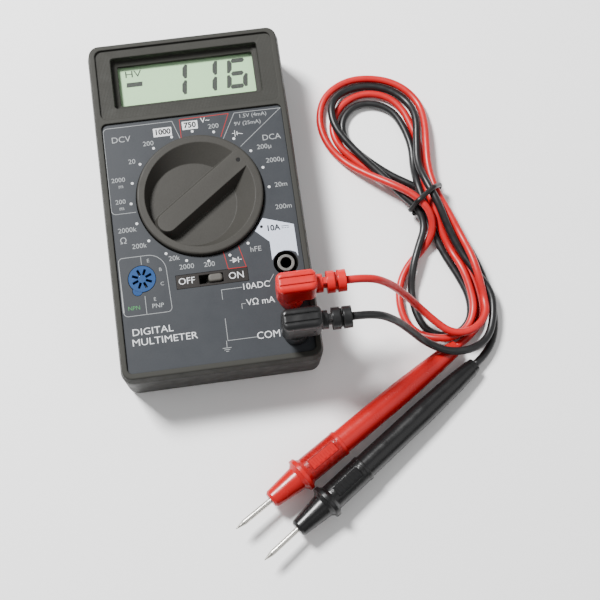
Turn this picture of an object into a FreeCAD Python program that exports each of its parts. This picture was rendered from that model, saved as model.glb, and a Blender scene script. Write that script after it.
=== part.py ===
import FreeCAD, Part
import Sketcher
import math
import os
import re

# Pocket digital multimeter lying on its back, with its pair of test leads.
# Millimetres. Origin: centre of the case footprint, on the surface that it rests on.
# +X to the right of the face, +Y towards the display, +Z out of the face.

doc = FreeCAD.newDocument("multimeter")
sheet = doc.addObject("Spreadsheet::Sheet", "dims")

SIZES = {
    # case
    "case_width": 70.0, "case_length": 126.0, "case_radius": 4.4, "case_wall": 2.2,
    "parting": 21.0, "face": 25.0, "floor_thick": 2.2, "draft_inset": 0.85, "rim_width": 1.7,
    "panel_top": 24.2, "panel_seat": 23.8, "skin_under": 21.8, "seam": 0.15, "tongue_drop": 0.9,
    # bezel and display
    "bezel_low": 33.2, "bezel_high": 60.5, "bezel_half": 32.2, "view_y": 47.3, "view_w": 53.2,
    "view_l": 19.4, "glass_w": 49.4, "glass_l": 15.7, "lens_top": 19.8, "lens_under": 19.0,
    "cell_top": 18.9, "cell_under": 16.6,
    # circuit board
    "board_top": 15.0, "board_under": 13.4, "board_half_w": 31.0, "board_half_l": 59.0,
    "battery_bay_x": 20.0, "battery_bay_y": -32.2,
    # selector
    "knob_x": -0.4, "knob_y": 0.7, "knob_r": 22.3, "knob_top": 26.2, "knob_base": 18.2,
    "knob_flange_r": 24.0, "knob_flange_top": 21.4, "pocket_floor": 21.7, "pocket_r": 19.5,
    "pocket_floor_r": 15.4, "pocket_shift": 3.5, "grip_w": 7.0, "grip_foot_w": 11.0,
    "hub_r": 19.0, "hub_base": 15.8, "spigot_r": 3.0, "positions": 20.0, "pointer_angle": 36.0,
    "detent_r": 25.2, "detent_wall": 1.5, "scallop_r": 1.3, "ball_r": 1.2, "ball_path": 23.95,
    "bore_level": 19.8, "gap": 0.1,
    # jacks
    "jack_x": 26.2, "jack_y": -27.9, "jack_pitch": 12.7, "well_r": 4.3, "well_wall": 1.0,
    "well_floor": 16.4, "post_r": 3.0, "sleeve_r": 2.0, "sleeve_out": 2.6, "sleeve_low": 6.0,
    "sleeve_top": 24.4,
    # plugs
    "pin_r": 1.95, "pin_low": 7.5, "shroud_r": 4.1, "shroud_bore": 3.2, "barrel_r": 4.5,
    "head_low": 31.4, "head_top": 44.6, "head_half": 3.8, "head_start": 20.9, "head_end": 34.6,
    "boot_end": 44.6, "boot_level": 37.6, "boot_big": 3.8, "boot_small": 3.2,
    "boot_core": 1.9,
    # transistor socket
    "hfe_x": -24.05, "hfe_y": -27.2, "hfe_r": 4.7, "key_x": 1.9, "key_y": 4.1, "key_r": 1.7,
    "slot_w": 0.9, "slot_near": 1.4, "slot_far": 3.6, "slot_floor": 16.0,
    # slide switch
    "switch_y": -30.1, "switch_x": 0.1, "switch_plate_w": 25.0, "switch_plate_l": 4.9,
    "button_w": 5.0, "button_l": 2.8, "button_x": 1.2, "button_top": 25.3, "travel": 3.0,
    # power
    "battery_l": 46.4, "battery_w": 26.4, "battery_h": 17.4, "battery_x": -31.8,
    "battery_y": -58.8, "battery_z": 2.45,
    # screws
    "screw_x": 28.8, "screw_high": 30.0, "screw_low": -17.5, "case_screw_r": 1.25,
    # leads
    "cord_r": 1.4, "handle_l": 73.0, "guard_r": 6.3, "grip_r": 4.5, "tail_r": 3.0,
    "grip_start": 56.0, "shank_r": 4.25, "nose_r": 3.25,
    "nose_l": 13.8, "needle_l": 15.4, "needle_r": 1.0,
}
for row, (alias, value) in enumerate(SIZES.items(), start=1):
    sheet.set(f"A{row}", alias)
    sheet.set(f"B{row}", str(value))
    sheet.setAlias(f"B{row}", alias)
doc.recompute()

NODES = []


def formula(text):
    """Spreadsheet formula in which every size is named by its alias."""
    return re.sub(r"[A-Za-z_]+", lambda m: "dims." + m.group(0) if m.group(0) in SIZES
                  else m.group(0), str(text))


def bind(obj, **expressions):
    """Bind properties; a double underscore in a keyword stands for a dot."""
    for name, text in expressions.items():
        obj.setExpression(name.replace("__", "."), formula(text))
    return obj


scale = doc.addObject("App::FeaturePython", "scale")
scale.addProperty("App::PropertyFloat", "reading")


def number(text):
    """Value of a size formula, worked out by the document."""
    scale.setExpression("reading", formula(text))
    doc.recompute([scale])
    return scale.reading


def place(obj, x=0, y=0, z=0):
    return bind(obj, Placement__Base__x=x, Placement__Base__y=y, Placement__Base__z=z)


def box(name, xs, ys, zs):
    item = doc.addObject("Part::Box", name)
    bind(item, Length=f"({xs[1]}) - ({xs[0]})", Width=f"({ys[1]}) - ({ys[0]})",
         Height=f"({zs[1]}) - ({zs[0]})")
    return place(item, xs[0], ys[0], zs[0])


def cylinder(name, x, y, radius, zs):
    item = doc.addObject("Part::Cylinder", name)
    bind(item, Radius=radius, Height=f"({zs[1]}) - ({zs[0]})")
    return place(item, x, y, zs[0])


def cone(name, x, y, low_radius, high_radius, zs):
    item = doc.addObject("Part::Cone", name)
    bind(item, Radius1=low_radius, Radius2=high_radius, Height=f"({zs[1]}) - ({zs[0]})")
    return place(item, x, y, zs[0])


def fuse(name, items):
    item = doc.addObject("Part::MultiFuse", name)
    item.Shapes = items
    return item


def cut(name, base, tools):
    item = doc.addObject("Part::Cut", name)
    item.Base = base
    item.Tool = tools[0] if len(tools) == 1 else fuse(name + "_tools", tools)
    return item


def node(obj, name):
    """Register a finished sub-part under its node name."""
    obj.Label = name
    NODES.append(obj)
    return obj


def group(name, items):
    """Several equal pieces kept as separate solids in one node."""
    item = doc.addObject("Part::Compound", name + "_group")
    item.Links = items
    return node(item, name)


def solid(name, shape):
    """A shape made with Part's own functions."""
    item = doc.addObject("Part::Feature", name + "_shape")
    item.Shape = shape
    return item


def plane(body, role):
    return next(f for f in body.Origin.OriginFeatures if f.Role == role)


def plate(name, xs, ys, radius, zs, taper="0", round_low=None, round_high=None):
    """Rounded rectangle, padded from zs[0] to zs[1]; a positive taper widens it upwards."""
    body = doc.addObject("PartDesign::Body", name)
    sketch = body.newObject("Sketcher::SketchObject", name + "_sketch")
    sketch.AttachmentSupport = [(plane(body, "XY_Plane"), "")]
    sketch.MapMode = "FlatFace"
    x0, x1, y0, y1, r = [number(v) for v in (*xs, *ys, radius)]
    corners = [(x1 - r, y0 + r, -90), (x1 - r, y1 - r, 0), (x0 + r, y1 - r, 90), (x0 + r, y0 + r, 180)]
    up = FreeCAD.Vector(0, 0, 1)
    arcs = []
    for cx, cy, start in corners:
        circle = Part.Circle(FreeCAD.Vector(cx, cy, 0), up, r)
        arcs.append(Part.ArcOfCircle(circle, math.radians(start), math.radians(start + 90)))
    sketch.addGeometry(arcs, False)
    lines = [Part.LineSegment(arcs[i].EndPoint, arcs[(i + 1) % 4].StartPoint) for i in range(4)]
    sketch.addGeometry(lines, False)
    join = [Sketcher.Constraint("Tangent", i, 2, 4 + i, 1) for i in range(4)]
    join += [Sketcher.Constraint("Tangent", 4 + i, 2, (i + 1) % 4, 1) for i in range(4)]
    join += [Sketcher.Constraint("Vertical", 4), Sketcher.Constraint("Horizontal", 5),
             Sketcher.Constraint("Equal", 0, 1), Sketcher.Constraint("Equal", 0, 2)]
    sketch.addConstraint(join)
    for label, kind, first, second, text in (
            ("right", "DistanceX", 4, 1, xs[1]), ("left", "DistanceX", 6, 1, xs[0]),
            ("top", "DistanceY", 5, 1, ys[1]), ("bottom", "DistanceY", 7, 1, ys[0])):
        index = sketch.addConstraint(Sketcher.Constraint(kind, -1, 1, first, second, number(text)))
        sketch.renameConstraint(index, label)
        sketch.setExpression("Constraints." + label, formula(text))
    index = sketch.addConstraint(Sketcher.Constraint("Radius", 0, r))
    sketch.renameConstraint(index, "corner")
    sketch.setExpression("Constraints.corner", formula(radius))
    bind(sketch, AttachmentOffset__Base__z=zs[0])
    pad = body.newObject("PartDesign::Pad", name + "_pad")
    pad.Profile = sketch
    bind(pad, Length=f"({zs[1]}) - ({zs[0]})", TaperAngle=taper)
    doc.recompute()
    for level, size, role in ((zs[0], round_low, "_low"), (zs[1], round_high, "_high")):
        if size is None:
            continue
        edges = flat_edges(body.Shape, number(level))
        last = body.Tip
        rounding = body.newObject("PartDesign::Fillet", name + role)
        rounding.Base = (last, edges)
        rounding.Radius = number(size)
        bind(rounding, Radius=size)
        doc.recompute()
    return body


def flat_edges(shape, level):
    """Names of the edges that lie at one height."""
    return [f"Edge{i}" for i, edge in enumerate(shape.Edges, start=1)
            if abs(edge.BoundBox.ZMin - level) < 1e-4 and abs(edge.BoundBox.ZMax - level) < 1e-4]


# ---------------------------------------------------------------- case
SCREW_PLACES = [(sx, sy) for sx in ("-screw_x", "screw_x") for sy in ("screw_high", "screw_low")]
BOARD_SCREWS = [(-29.2, 14.0), (28.9, 20.0), (20.5, -22.6)]
JACKS = ("10a", "vohm", "com")


def jack_row(index):
    """Height on the face of a jack, counted from the high-current one down."""
    return f"jack_y - {index} * jack_pitch"


def make_back_cover():
    shell = plate("back_shell", ("-case_width / 2 + 0.5", "case_width / 2 - 0.5"),
                  ("-case_length / 2 + 0.5", "case_length / 2 - 0.5"), "case_radius - 0.5",
                  ("0", "parting"), taper="atan(0.5 / parting)", round_low="3.2")
    hollow = plate("back_hollow", ("-case_width / 2 + case_wall + 0.4", "case_width / 2 - case_wall - 0.4"),
                   ("-case_length / 2 + case_wall + 0.4", "case_length / 2 - case_wall - 0.4"),
                   "case_radius - case_wall", ("floor_thick", "parting + 1"), round_low="1.4")
    posts = []
    holes = [hollow]
    for i, (sx, sy) in enumerate(SCREW_PLACES):
        posts.append(cylinder(f"back_post_{i}", sx, sy, "4.2", ("0.6", "7.4")))
        posts.append(cylinder(f"back_tower_{i}", sx, sy, "2.7", ("7.4", "board_under - gap")))
        holes.append(cylinder(f"back_sink_{i}", sx, sy, "2.9", ("-1", "5.4")))
        holes.append(cylinder(f"back_way_{i}", sx, sy, "1.5", ("5", "board_under + 1")))
    ribs = [box("bay_rib", ("-case_width / 2 + 1.5", "battery_bay_x + 1.2"),
                ("battery_bay_y", "battery_bay_y + 1.2"), ("1.5", "board_under - 0.4")),
            box("bay_wall", ("battery_bay_x", "battery_bay_x + 1.2"),
                ("-case_length / 2 + 1.5", "battery_bay_y + 1.2"), ("1.5", "board_under - 0.4"))]
    for i in range(4):
        ribs.append(box(f"stiff_rib_{i}", (f"{-18 + 12 * i}", f"{-17 + 12 * i}"),
                        ("-battery_bay_y + 24", "case_length / 2 - 1.5"), ("1.5", "6")))
    holes.append(box("wire_notch", ("14.4", "19.4"), ("battery_bay_y - 1", "battery_bay_y + 2"), ("9", "14")))
    tray = cut("back_tray", shell, [hollow])
    filled = fuse("back_filled", [tray] + posts + ribs)
    return node(cut("back_finish", filled, holes[1:]), "back_cover")


def make_front_cover():
    """Face with its rim, bezel, display well, selector opening, jack wells and screw bosses."""
    x_out, y_out = "case_width / 2", "case_length / 2"
    outer = plate("front_shell", (f"-{x_out}", x_out), (f"-{y_out}", y_out), "case_radius",
                  ("parting + seam", "face"), taper="-atan(draft_inset / (face - parting))",
                  round_high="0.5")
    inner = plate("front_hollow", (f"-{x_out} + case_wall", f"{x_out} - case_wall"),
                  (f"-{y_out} + case_wall", f"{y_out} - case_wall"), "case_radius - case_wall",
                  ("parting - 1", "skin_under"))
    tongue = plate("front_tongue", ("-case_width / 2 + case_wall + 0.55",
                                    "case_width / 2 - case_wall - 0.55"),
                   ("-case_length / 2 + case_wall + 0.55", "case_length / 2 - case_wall - 0.55"),
                   "case_radius - case_wall", ("parting - tongue_drop", "skin_under"))
    tongue_in = plate("front_tongue_in", ("-case_width / 2 + case_wall + 1.5",
                                          "case_width / 2 - case_wall - 1.5"),
                      ("-case_length / 2 + case_wall + 1.5", "case_length / 2 - case_wall - 1.5"),
                      "case_radius - case_wall - 0.6", ("parting - 3", "skin_under"))
    panel_pocket = plate("panel_pocket", ("-bezel_half - 0.2", "bezel_half + 0.2"),
                         ("-bezel_high + 0.2", "bezel_low - rim_width + 0.1"), "1.9",
                         ("panel_seat", "face + 1"))
    bezel_pocket = plate("bezel_pocket", ("-bezel_half", "bezel_half"), ("bezel_low", "bezel_high"),
                         "2.4", ("panel_top", "face + 1"))
    well_frame = plate("well_frame", ("-view_w / 2 - 1.6", "view_w / 2 + 1.6"),
                       ("view_y - view_l / 2 - 1.8", "view_y + view_l / 2 + 1.8"), "1.5",
                       ("lens_top", "panel_seat"))
    view = plate("view_opening", ("-view_w / 2", "view_w / 2"),
                 ("view_y - view_l / 2", "view_y + view_l / 2"), "0.9", ("21.6", "face + 1"),
                 taper="5")
    ledge = plate("view_ledge", ("-glass_w / 2", "glass_w / 2"),
                  ("view_y - glass_l / 2", "view_y + glass_l / 2"), "0.5", ("20.9", "21.65"),
                  taper="63")
    glass_way = plate("view_way", ("-glass_w / 2", "glass_w / 2"),
                      ("view_y - glass_l / 2", "view_y + glass_l / 2"), "0.5", ("lens_top - 1", "21"))
    ring = cylinder("detent_outer", "knob_x", "knob_y", "detent_r + scallop_r / 2 + detent_wall",
                    ("18.4", "skin_under"))
    knob_way = cylinder("knob_way", "knob_x", "knob_y", "knob_r + 0.3", ("skin_under - 1", "face + 1"))
    ring_way = cylinder("ring_way", "knob_x", "knob_y", "detent_r", ("18", "skin_under"))
    scallops = [ring_way]
    for i in range(round(number("positions"))):
        notch = cylinder(f"scallop_{i}", "0", "0", "scallop_r", ("18", "skin_under"))
        turn = f"({i} * 360 / positions + pointer_angle)"
        place(notch, f"knob_x + (detent_r - scallop_r + 0.5) * cos({turn})",
              f"knob_y + (detent_r - scallop_r + 0.5) * sin({turn})", "18")
        scallops.append(notch)
    adds = [cut("tongue_ring", tongue, [tongue_in]), ring, well_frame]
    takes = [view, ledge, glass_way, knob_way, panel_pocket, bezel_pocket]
    for i in range(3):
        adds.append(cylinder(f"well_{i}", "jack_x", jack_row(i), "well_r + well_wall",
                             ("board_top", "panel_seat")))
        takes.append(cylinder(f"well_gap_{i}", "jack_x", jack_row(i), "well_r",
                              ("well_floor", "face + 1")))
    for i, (sx, sy) in enumerate(SCREW_PLACES):
        adds.append(cylinder(f"case_boss_{i}", sx, sy, "2.6", ("board_top", "skin_under")))
        takes.append(cylinder(f"case_boss_way_{i}", sx, sy, "case_screw_r + 0.03",
                              ("board_top - 1", "20.5")))
    for i, (sx, sy) in enumerate(BOARD_SCREWS):
        adds.append(cylinder(f"board_boss_{i}", sx, sy, "2.2", ("board_top", "skin_under")))
        takes.append(cylinder(f"board_boss_way_{i}", sx, sy, "1.03", ("board_top - 1", "20")))
    takes.append(cylinder("hfe_way", "hfe_x", "hfe_y", "hfe_r + 0.15", ("skin_under - 1", "face")))
    takes.append(box("switch_way", ("switch_x - 4.6", "switch_x + 4.2"),
                     ("switch_y - 1.7", "switch_y + 1.7"), ("skin_under - 1", "face")))
    hollowed = cut("front_hollowed", outer, [inner])
    built = fuse("front_built", [hollowed] + adds)
    opened = cut("front_opened", built, takes + scallops)
    posts = []
    bores = []
    for i in range(3):
        posts.append(cylinder(f"jack_post_{i}", "jack_x", jack_row(i), "post_r",
                              ("board_top", "sleeve_top - 0.5")))
        bores.append(cylinder(f"jack_bore_{i}", "jack_x", jack_row(i), "sleeve_out",
                              ("board_top - 1", "face")))
    with_posts = fuse("front_posts", [opened] + posts)
    return node(cut("front_finish", with_posts, bores), "front_cover")


def make_function_panel():
    blank = plate("panel_blank", ("-bezel_half - 0.1", "bezel_half + 0.1"),
                  ("-bezel_high + 0.3", "bezel_low - rim_width"), "1.8", ("panel_seat", "panel_top"))
    takes = [cylinder("panel_knob", "knob_x", "knob_y", "knob_r + 0.4", ("23", "25")),
             cylinder("panel_hfe", "hfe_x", "hfe_y", "hfe_r + 0.2", ("23", "25")),
             cylinder("panel_hfe_key", "hfe_x - key_x", "hfe_y - key_y", "key_r + 0.15", ("23", "25")),
             box("panel_switch", ("switch_x - switch_plate_w / 2 - gap",
                                  "switch_x + switch_plate_w / 2 + gap"),
                 ("switch_y - switch_plate_l / 2 - gap", "switch_y + switch_plate_l / 2 + gap"),
                 ("23", "25"))]
    for i in range(3):
        takes.append(cylinder(f"panel_jack_{i}", "jack_x", jack_row(i), "well_r + 0.05", ("23", "25")))
    node(cut("panel_cut", blank, takes), "function_panel")


def make_display():
    lens = plate("lens", ("-view_w / 2 - 2.4", "view_w / 2 + 2.4"),
                 ("view_y - view_l / 2 - 2.3", "view_y + view_l / 2 + 2.3"), "1", ("lens_under", "lens_top"))
    node(lens, "lcd_window")
    cell = plate("cell", ("-27.8", "27.8"), ("view_y - 11.4", "view_y + 10.4"), "0.3",
                 ("cell_under", "cell_top"))
    node(cell, "lcd_cell")
    node(box("reflector", ("-27.6", "27.6"), ("view_y - 8.2", "view_y + 10.2"),
             ("cell_under - 0.8", "cell_under")), "lcd_reflector")
    rim = plate("frame_rim", ("-29.6", "29.6"), ("view_y - 13", "view_y + 12"), "1.2",
                ("board_top", "lens_under"))
    inside = plate("frame_inside", ("-28", "28"), ("view_y - 11.6", "view_y + 10.6"), "0.4",
                   ("board_top + 0.8", "lens_under + 1"))
    slot = box("frame_slot", ("-26.4", "26.4"), ("view_y - 11.3", "view_y - 8.7"), ("14", "17"))
    node(cut("frame_cut", rim, [inside, slot]), "lcd_frame")
    node(box("zebra", ("-26.2", "26.2"), ("view_y - 11.1", "view_y - 8.9"), ("board_top", "cell_under")),
         "zebra_strip")


# ---------------------------------------------------------------- selector
def make_selector():
    """Knob with two half-moon pockets either side of a grip bar, and its detent parts."""
    kx, ky = number("knob_x"), number("knob_y")
    top, base = number("knob_top"), number("knob_base")
    body = plate_round("knob_disc", number("knob_r"), (base, top), 0.7)
    flange = Part.makeCylinder(number("knob_flange_r"), number("knob_flange_top") - base,
                               FreeCAD.Vector(0, 0, base))
    hub = Part.makeCylinder(number("hub_r"), base - number("hub_base"),
                            FreeCAD.Vector(0, 0, number("hub_base")))
    spigot = Part.makeCylinder(number("spigot_r"), number("hub_base") - number("board_under"),
                               FreeCAD.Vector(0, 0, number("board_under")))
    knob = body.fuse([flange, hub, spigot])
    floor = number("pocket_floor")
    mouth = Part.Wire(Part.Circle(FreeCAD.Vector(0, 0, top + 0.01), FreeCAD.Vector(0, 0, 1),
                                  number("pocket_r")).toShape())
    low = Part.Wire(Part.Circle(FreeCAD.Vector(-number("pocket_shift"), 0, floor),
                                FreeCAD.Vector(0, 0, 1), number("pocket_floor_r")).toShape())
    dish = Part.makeLoft([low, mouth], True, True)
    half_top, half_foot = number("grip_w") / 2, number("grip_foot_w") / 2
    reach = number("pocket_r") + 2.0
    tail = -number("pocket_r") + half_top + 0.7
    bar_low = stadium(tail, reach, half_foot, floor - 0.5)
    bar_high = stadium(tail, reach, half_top, top + 0.02)
    grip = Part.makeLoft([bar_low, bar_high], True, True)
    knob = knob.cut(dish.cut(grip))
    mark = Part.makeCylinder(0.75, 1.0, FreeCAD.Vector(number("pocket_r") - 1.1, 0, top - 0.45))
    knob = knob.cut(mark)
    pockets = []
    balls = []
    springs = []
    level = number("bore_level")
    path, ball_r = number("ball_path"), number("ball_r")
    for side in (0, 180):
        way = FreeCAD.Vector(math.cos(math.radians(side)), math.sin(math.radians(side)), 0)
        start = FreeCAD.Vector(0, 0, level) + way * 17.0
        pockets.append(Part.makeCylinder(ball_r + 0.05, 8.0, start, way))
        balls.append(Part.makeSphere(ball_r, FreeCAD.Vector(0, 0, level) + way * path))
        coil = spring(0.85, 0.16, path - ball_r - 0.06 - 17.06, 5)
        coil.Placement = FreeCAD.Placement(FreeCAD.Vector(0, 0, level) + way * 17.22,
                                           FreeCAD.Rotation(FreeCAD.Vector(0, 0, 1), way))
        springs.append(coil)
    for pocket in pockets:
        knob = knob.cut(pocket)
    fingers = []
    for k in range(6):
        radius = 6.0 + 2.1 * k
        finger = wiper().copy()
        finger.Placement = FreeCAD.Placement(
            FreeCAD.Vector(radius * math.cos(k), radius * math.sin(k), number("board_top") + 0.05),
            FreeCAD.Rotation(math.degrees(k) + 90, 0, 0))
        fingers.append(finger)
    turn = FreeCAD.Placement(FreeCAD.Vector(kx, ky, 0), FreeCAD.Rotation(number("pointer_angle"), 0, 0))
    dot = Part.makeCylinder(0.75, 0.42, FreeCAD.Vector(number("pocket_r") - 1.1, 0, top - 0.45))
    for name, shape in (("selector_knob", knob.removeSplitter()), ("selector_pointer", dot),
                        ("detent_balls", Part.makeCompound(balls)),
                        ("detent_springs", Part.makeCompound(springs)),
                        ("selector_wipers", Part.makeCompound(fingers))):
        item = solid(name, shape)
        item.Placement = turn
        node(item, name)


def plate_round(name, radius, levels, rounding):
    """Disc with its top edge rounded, as a revolved profile."""
    low, high = levels
    v = FreeCAD.Vector
    arc = Part.Arc(v(radius, 0, high - rounding),
                   v(radius - rounding * (1 - math.cos(math.pi / 4)), 0,
                     high - rounding * (1 - math.sin(math.pi / 4))),
                   v(radius - rounding, 0, high)).toShape()
    profile = Part.Wire([Part.makeLine(v(0, 0, low), v(radius, 0, low)),
                         Part.makeLine(v(radius, 0, low), v(radius, 0, high - rounding)), arc,
                         Part.makeLine(v(radius - rounding, 0, high), v(0, 0, high)),
                         Part.makeLine(v(0, 0, high), v(0, 0, low))])
    return Part.Face(profile).revolve(v(0, 0, 0), v(0, 0, 1), 360)


def stadium(x0, x1, half, level):
    """Bar outline with a round tail at x0 and a square end at x1."""
    v = FreeCAD.Vector
    arc = Part.Arc(v(x0, half, level), v(x0 - half, 0, level), v(x0, -half, level)).toShape()
    return Part.Wire([Part.makeLine(v(x1, half, level), v(x0, half, level)), arc,
                      Part.makeLine(v(x0, -half, level), v(x1, -half, level)),
                      Part.makeLine(v(x1, -half, level), v(x1, half, level))])


def spring(radius, wire, length, turns):
    """Round-wire coil spring along +Z."""
    helix = Part.makeHelix(length / turns, length, radius)
    section = Part.Wire(Part.Circle(FreeCAD.Vector(radius, 0, 0), FreeCAD.Vector(0, 1, 0), wire).toShape())
    return Part.Wire(helix).makePipeShell([section], True, True)


def wiper():
    """Leaf contact that bridges two tracks."""
    v = FreeCAD.Vector
    outline = [v(-1.6, 0, 0.72), v(-1.6, 0, 0.6), v(-0.5, 0, 0.45), v(0, 0, 0), v(0.5, 0, 0.45),
               v(1.6, 0, 0.6), v(1.6, 0, 0.72), v(0.45, 0, 0.6), v(0, 0, 0.2), v(-0.45, 0, 0.6)]
    face = Part.Face(Part.makePolygon(outline + outline[:1]))
    return face.extrude(v(0, 0.8, 0))


# ---------------------------------------------------------------- board
def across(obj, x, y, z, way="Y"):
    """Lay an upright primitive along X or Y, its foot at x, y, z."""
    rotation = FreeCAD.Rotation(FreeCAD.Vector(0, 0, 1), FreeCAD.Vector(way == "X", way == "Y", 0))
    obj.Placement = FreeCAD.Placement(FreeCAD.Vector(0, 0, 0), rotation)
    bind(obj, Placement__Base__x=x, Placement__Base__y=y, Placement__Base__z=z)
    return obj


def make_board():
    blank = box("board_blank", ("-board_half_w", "board_half_w"), ("-board_half_l", "board_half_l"),
                ("board_under", "board_top"))
    takes = [box("board_bay", ("-board_half_w - 1", "battery_bay_x"), ("-board_half_l - 1", "battery_bay_y"),
                 ("board_under - 1", "board_top + 1")),
             cylinder("board_spigot", "knob_x", "knob_y", "spigot_r + 0.15",
                      ("board_under - 1", "board_top + 1"))]
    for i, (sx, sy) in enumerate(SCREW_PLACES):
        takes.append(cylinder(f"board_case_hole_{i}", sx, sy, "1.6", ("board_under - 1", "board_top + 1")))
    for i, (sx, sy) in enumerate(BOARD_SCREWS):
        takes.append(cylinder(f"board_hole_{i}", sx, sy, "1.3", ("board_under - 1", "board_top + 1")))
    for i in range(3):
        takes.append(cylinder(f"board_jack_hole_{i}", "jack_x", jack_row(i), "sleeve_out + 0.1",
                              ("board_under - 1", "board_top + 1")))
    node(cut("board_cut", blank, takes), "main_board")
    rings = []
    for k in range(6):
        radius = 6.0 + 2.1 * k
        outer = cylinder(f"track_out_{k}", "knob_x", "knob_y", radius + 0.6,
                         ("board_top", "board_top + 0.04"))
        inner = cylinder(f"track_in_{k}", "knob_x", "knob_y", radius - 0.6,
                         ("board_top - 1", "board_top + 1"))
        rings.append(cut(f"track_{k}", outer, [inner]))
    group("selector_tracks", rings)


def make_components():
    """Parts soldered on the underside of the board."""
    node(cone("chip", "0", "40", "5.2", "8", ("board_under - 1.7", "board_under")), "chip_dome")
    resistors = []
    for i in range(10):
        x, y = -22 + 7.5 * (i % 2), -6 + 8.5 * (i // 2)
        body = across(cylinder(f"resistor_{i}", "0", "0", "1.05", ("0", "5.6")), x, y, "board_under - 1.4",
                      "X")
        lead = across(cylinder(f"resistor_lead_{i}", "0", "0", "0.28", ("0", "7")), x - 0.7, y,
                      "board_under - 1.4", "X")
        ends = [cylinder(f"resistor_leg_{i}_{k}", str(x + ex), str(y), "0.28",
                         ("board_under - 1.4", "board_under"))
                for k, ex in enumerate((-0.6, 6.2))]
        resistors.append(fuse(f"resistor_whole_{i}", [body, lead] + ends))
    group("resistors", resistors)
    cans = [cylinder(f"can_{i}", x, y, "2.5", ("board_under - 7.5", "board_under"))
            for i, (x, y) in enumerate((("-4", "20"), ("-4", "27"), ("4", "27")))]
    cans += [box(f"film_{i}", (x, f"{x} + 7.2"), (y, f"{y} + 2.6"), ("board_under - 6", "board_under"))
             for i, (x, y) in enumerate((("-3", "-14"), ("-3", "-20")))]
    group("capacitors", cans)
    node(box("foil", ("-24", "24"), ("-28", "52"), ("floor_thick + 0.02", "floor_thick + 0.2")),
         "shield_foil")
    coil = solid("shield_coil", spring(1.8, 0.25, number("board_under - floor_thick - 0.9"), 7))
    place(coil, "-14", "-21", "floor_thick + 0.55")
    node(coil, "shield_spring")
    side = box("trimmer_block", ("8.75", "15.25"), ("18.75", "25.25"), ("board_under - 4", "board_under"))
    well = cylinder("trimmer_well", "12", "22", "2.4", ("board_under - 5", "board_under - 1.9"))
    node(cut("trimmer_cut", side, [well]), "trimmer_body")
    rotor = cylinder("rotor_disc", "12", "22", "2.2", ("board_under - 4.5", "board_under - 2"))
    slot = box("rotor_slot", ("9", "15"), ("21.65", "22.35"), ("board_under - 5", "board_under - 3.7"))
    node(cut("rotor_cut", rotor, [slot]), "trimmer_rotor")
    under = number("board_under")
    staple = [(10, -26, under), (10, -26, under - 4.8), (10, -14.6, under - 4.8), (10, -14.6, under)]
    node(solid("shunt_staple", tube(staple, 0.75)[0]), "shunt_wire")
    make_fuse()


def make_fuse():
    x, level = "25", "board_under - 3.9"
    tube = across(cylinder("fuse_outer", "0", "0", "2.35", ("0", "9")), x, "-2.5", level)
    hollow = across(cylinder("fuse_inner", "0", "0", "1.9", ("0", "9.2")), x, "-2.6", level)
    node(cut("fuse_tube", tube, [hollow]), "fuse_glass")
    caps = [across(cylinder(f"fuse_cap_{i}", "0", "0", "2.6", ("0", "5.5")), x, y, level)
            for i, y in enumerate(("-8", "6.5"))]
    group("fuse_caps", caps)
    node(across(cylinder("fuse_element", "0", "0", "0.15", ("0", "9")), x, "-2.5", level), "fuse_element")
    clips = []
    for i, y in enumerate((-7.2, 7.3)):
        block = box(f"clip_block_{i}", ("21.7", "28.3"), (y, f"{y} + 3.9"),
                    ("board_under - 6", "board_under"))
        inside = box(f"clip_inside_{i}", ("22.4", "27.6"), (y - 1, f"{y} + 5"),
                     ("board_under - 7", "board_under - 3.9"))
        seat = across(cylinder(f"clip_seat_{i}", "0", "0", "2.62", ("0", "6")), x, str(y - 1), level)
        clips.append(cut(f"clip_{i}", block, [inside, seat]))
    group("fuse_clips", clips)


def make_battery():
    y_mid, z_mid = "battery_y + battery_w / 2", "battery_z + battery_h / 2"
    body = box("cell_can", ("battery_x", "battery_x + battery_l"), ("battery_y", "battery_y + battery_w"),
               ("battery_z", "battery_z + battery_h"))
    can = doc.addObject("Part::Fillet", "cell_round")
    can.Base = body
    doc.recompute()
    can.Edges = [(i, 1.8, 1.8) for i, e in enumerate(body.Shape.Edges, start=1)
                 if abs(e.Vertexes[0].X - e.Vertexes[1].X) > 1]
    studs = [across(cylinder(f"stud_{i}", "0", "0", r, ("0", "2.4")), "battery_x + battery_l - 0.2",
                    f"{y_mid} + {off}", z_mid, "X") for i,
                    (r, off) in enumerate((("2.9", "6.35"), ("4.2", "-6.35")))]
    node(fuse("battery_whole", [can] + studs), "battery_9v")
    snap = box("snap_block", ("battery_x + battery_l + 0.1", "battery_bay_x - 0.6"),
               ("battery_y + 0.3", "battery_y + battery_w - 0.3"),
               ("battery_z + 0.6", "battery_z + battery_h - 0.6"))
    sockets = [across(cylinder(f"snap_socket_{i}", "0", "0", r, ("0", "3")), "battery_x + battery_l - 0.4",
                      f"{y_mid} + {off}", z_mid, "X") for i,
                      (r, off) in enumerate((("3", "6.35"), ("4.3", "-6.35")))]
    node(cut("snap_cut", snap, sockets), "battery_snap")
    wires = []
    for i, x in enumerate((15.5, 18.1)):
        points = [(x, -32.7, 10.2), (x, -27.4 + i, 10.2), (x - 3.1, -24.8 + i, 9.4),
                  (x - 3.1, -24.8 + i, 13.35)]
        shape, _ = tube(points, 0.6)
        wires.append(solid(f"battery_wire_{i}", shape))
    group("battery_wires", wires)
    node(box("pad", ("-20", "5"), ("-52", "-40"), ("battery_z + battery_h", "skin_under")), "battery_foam")


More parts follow.
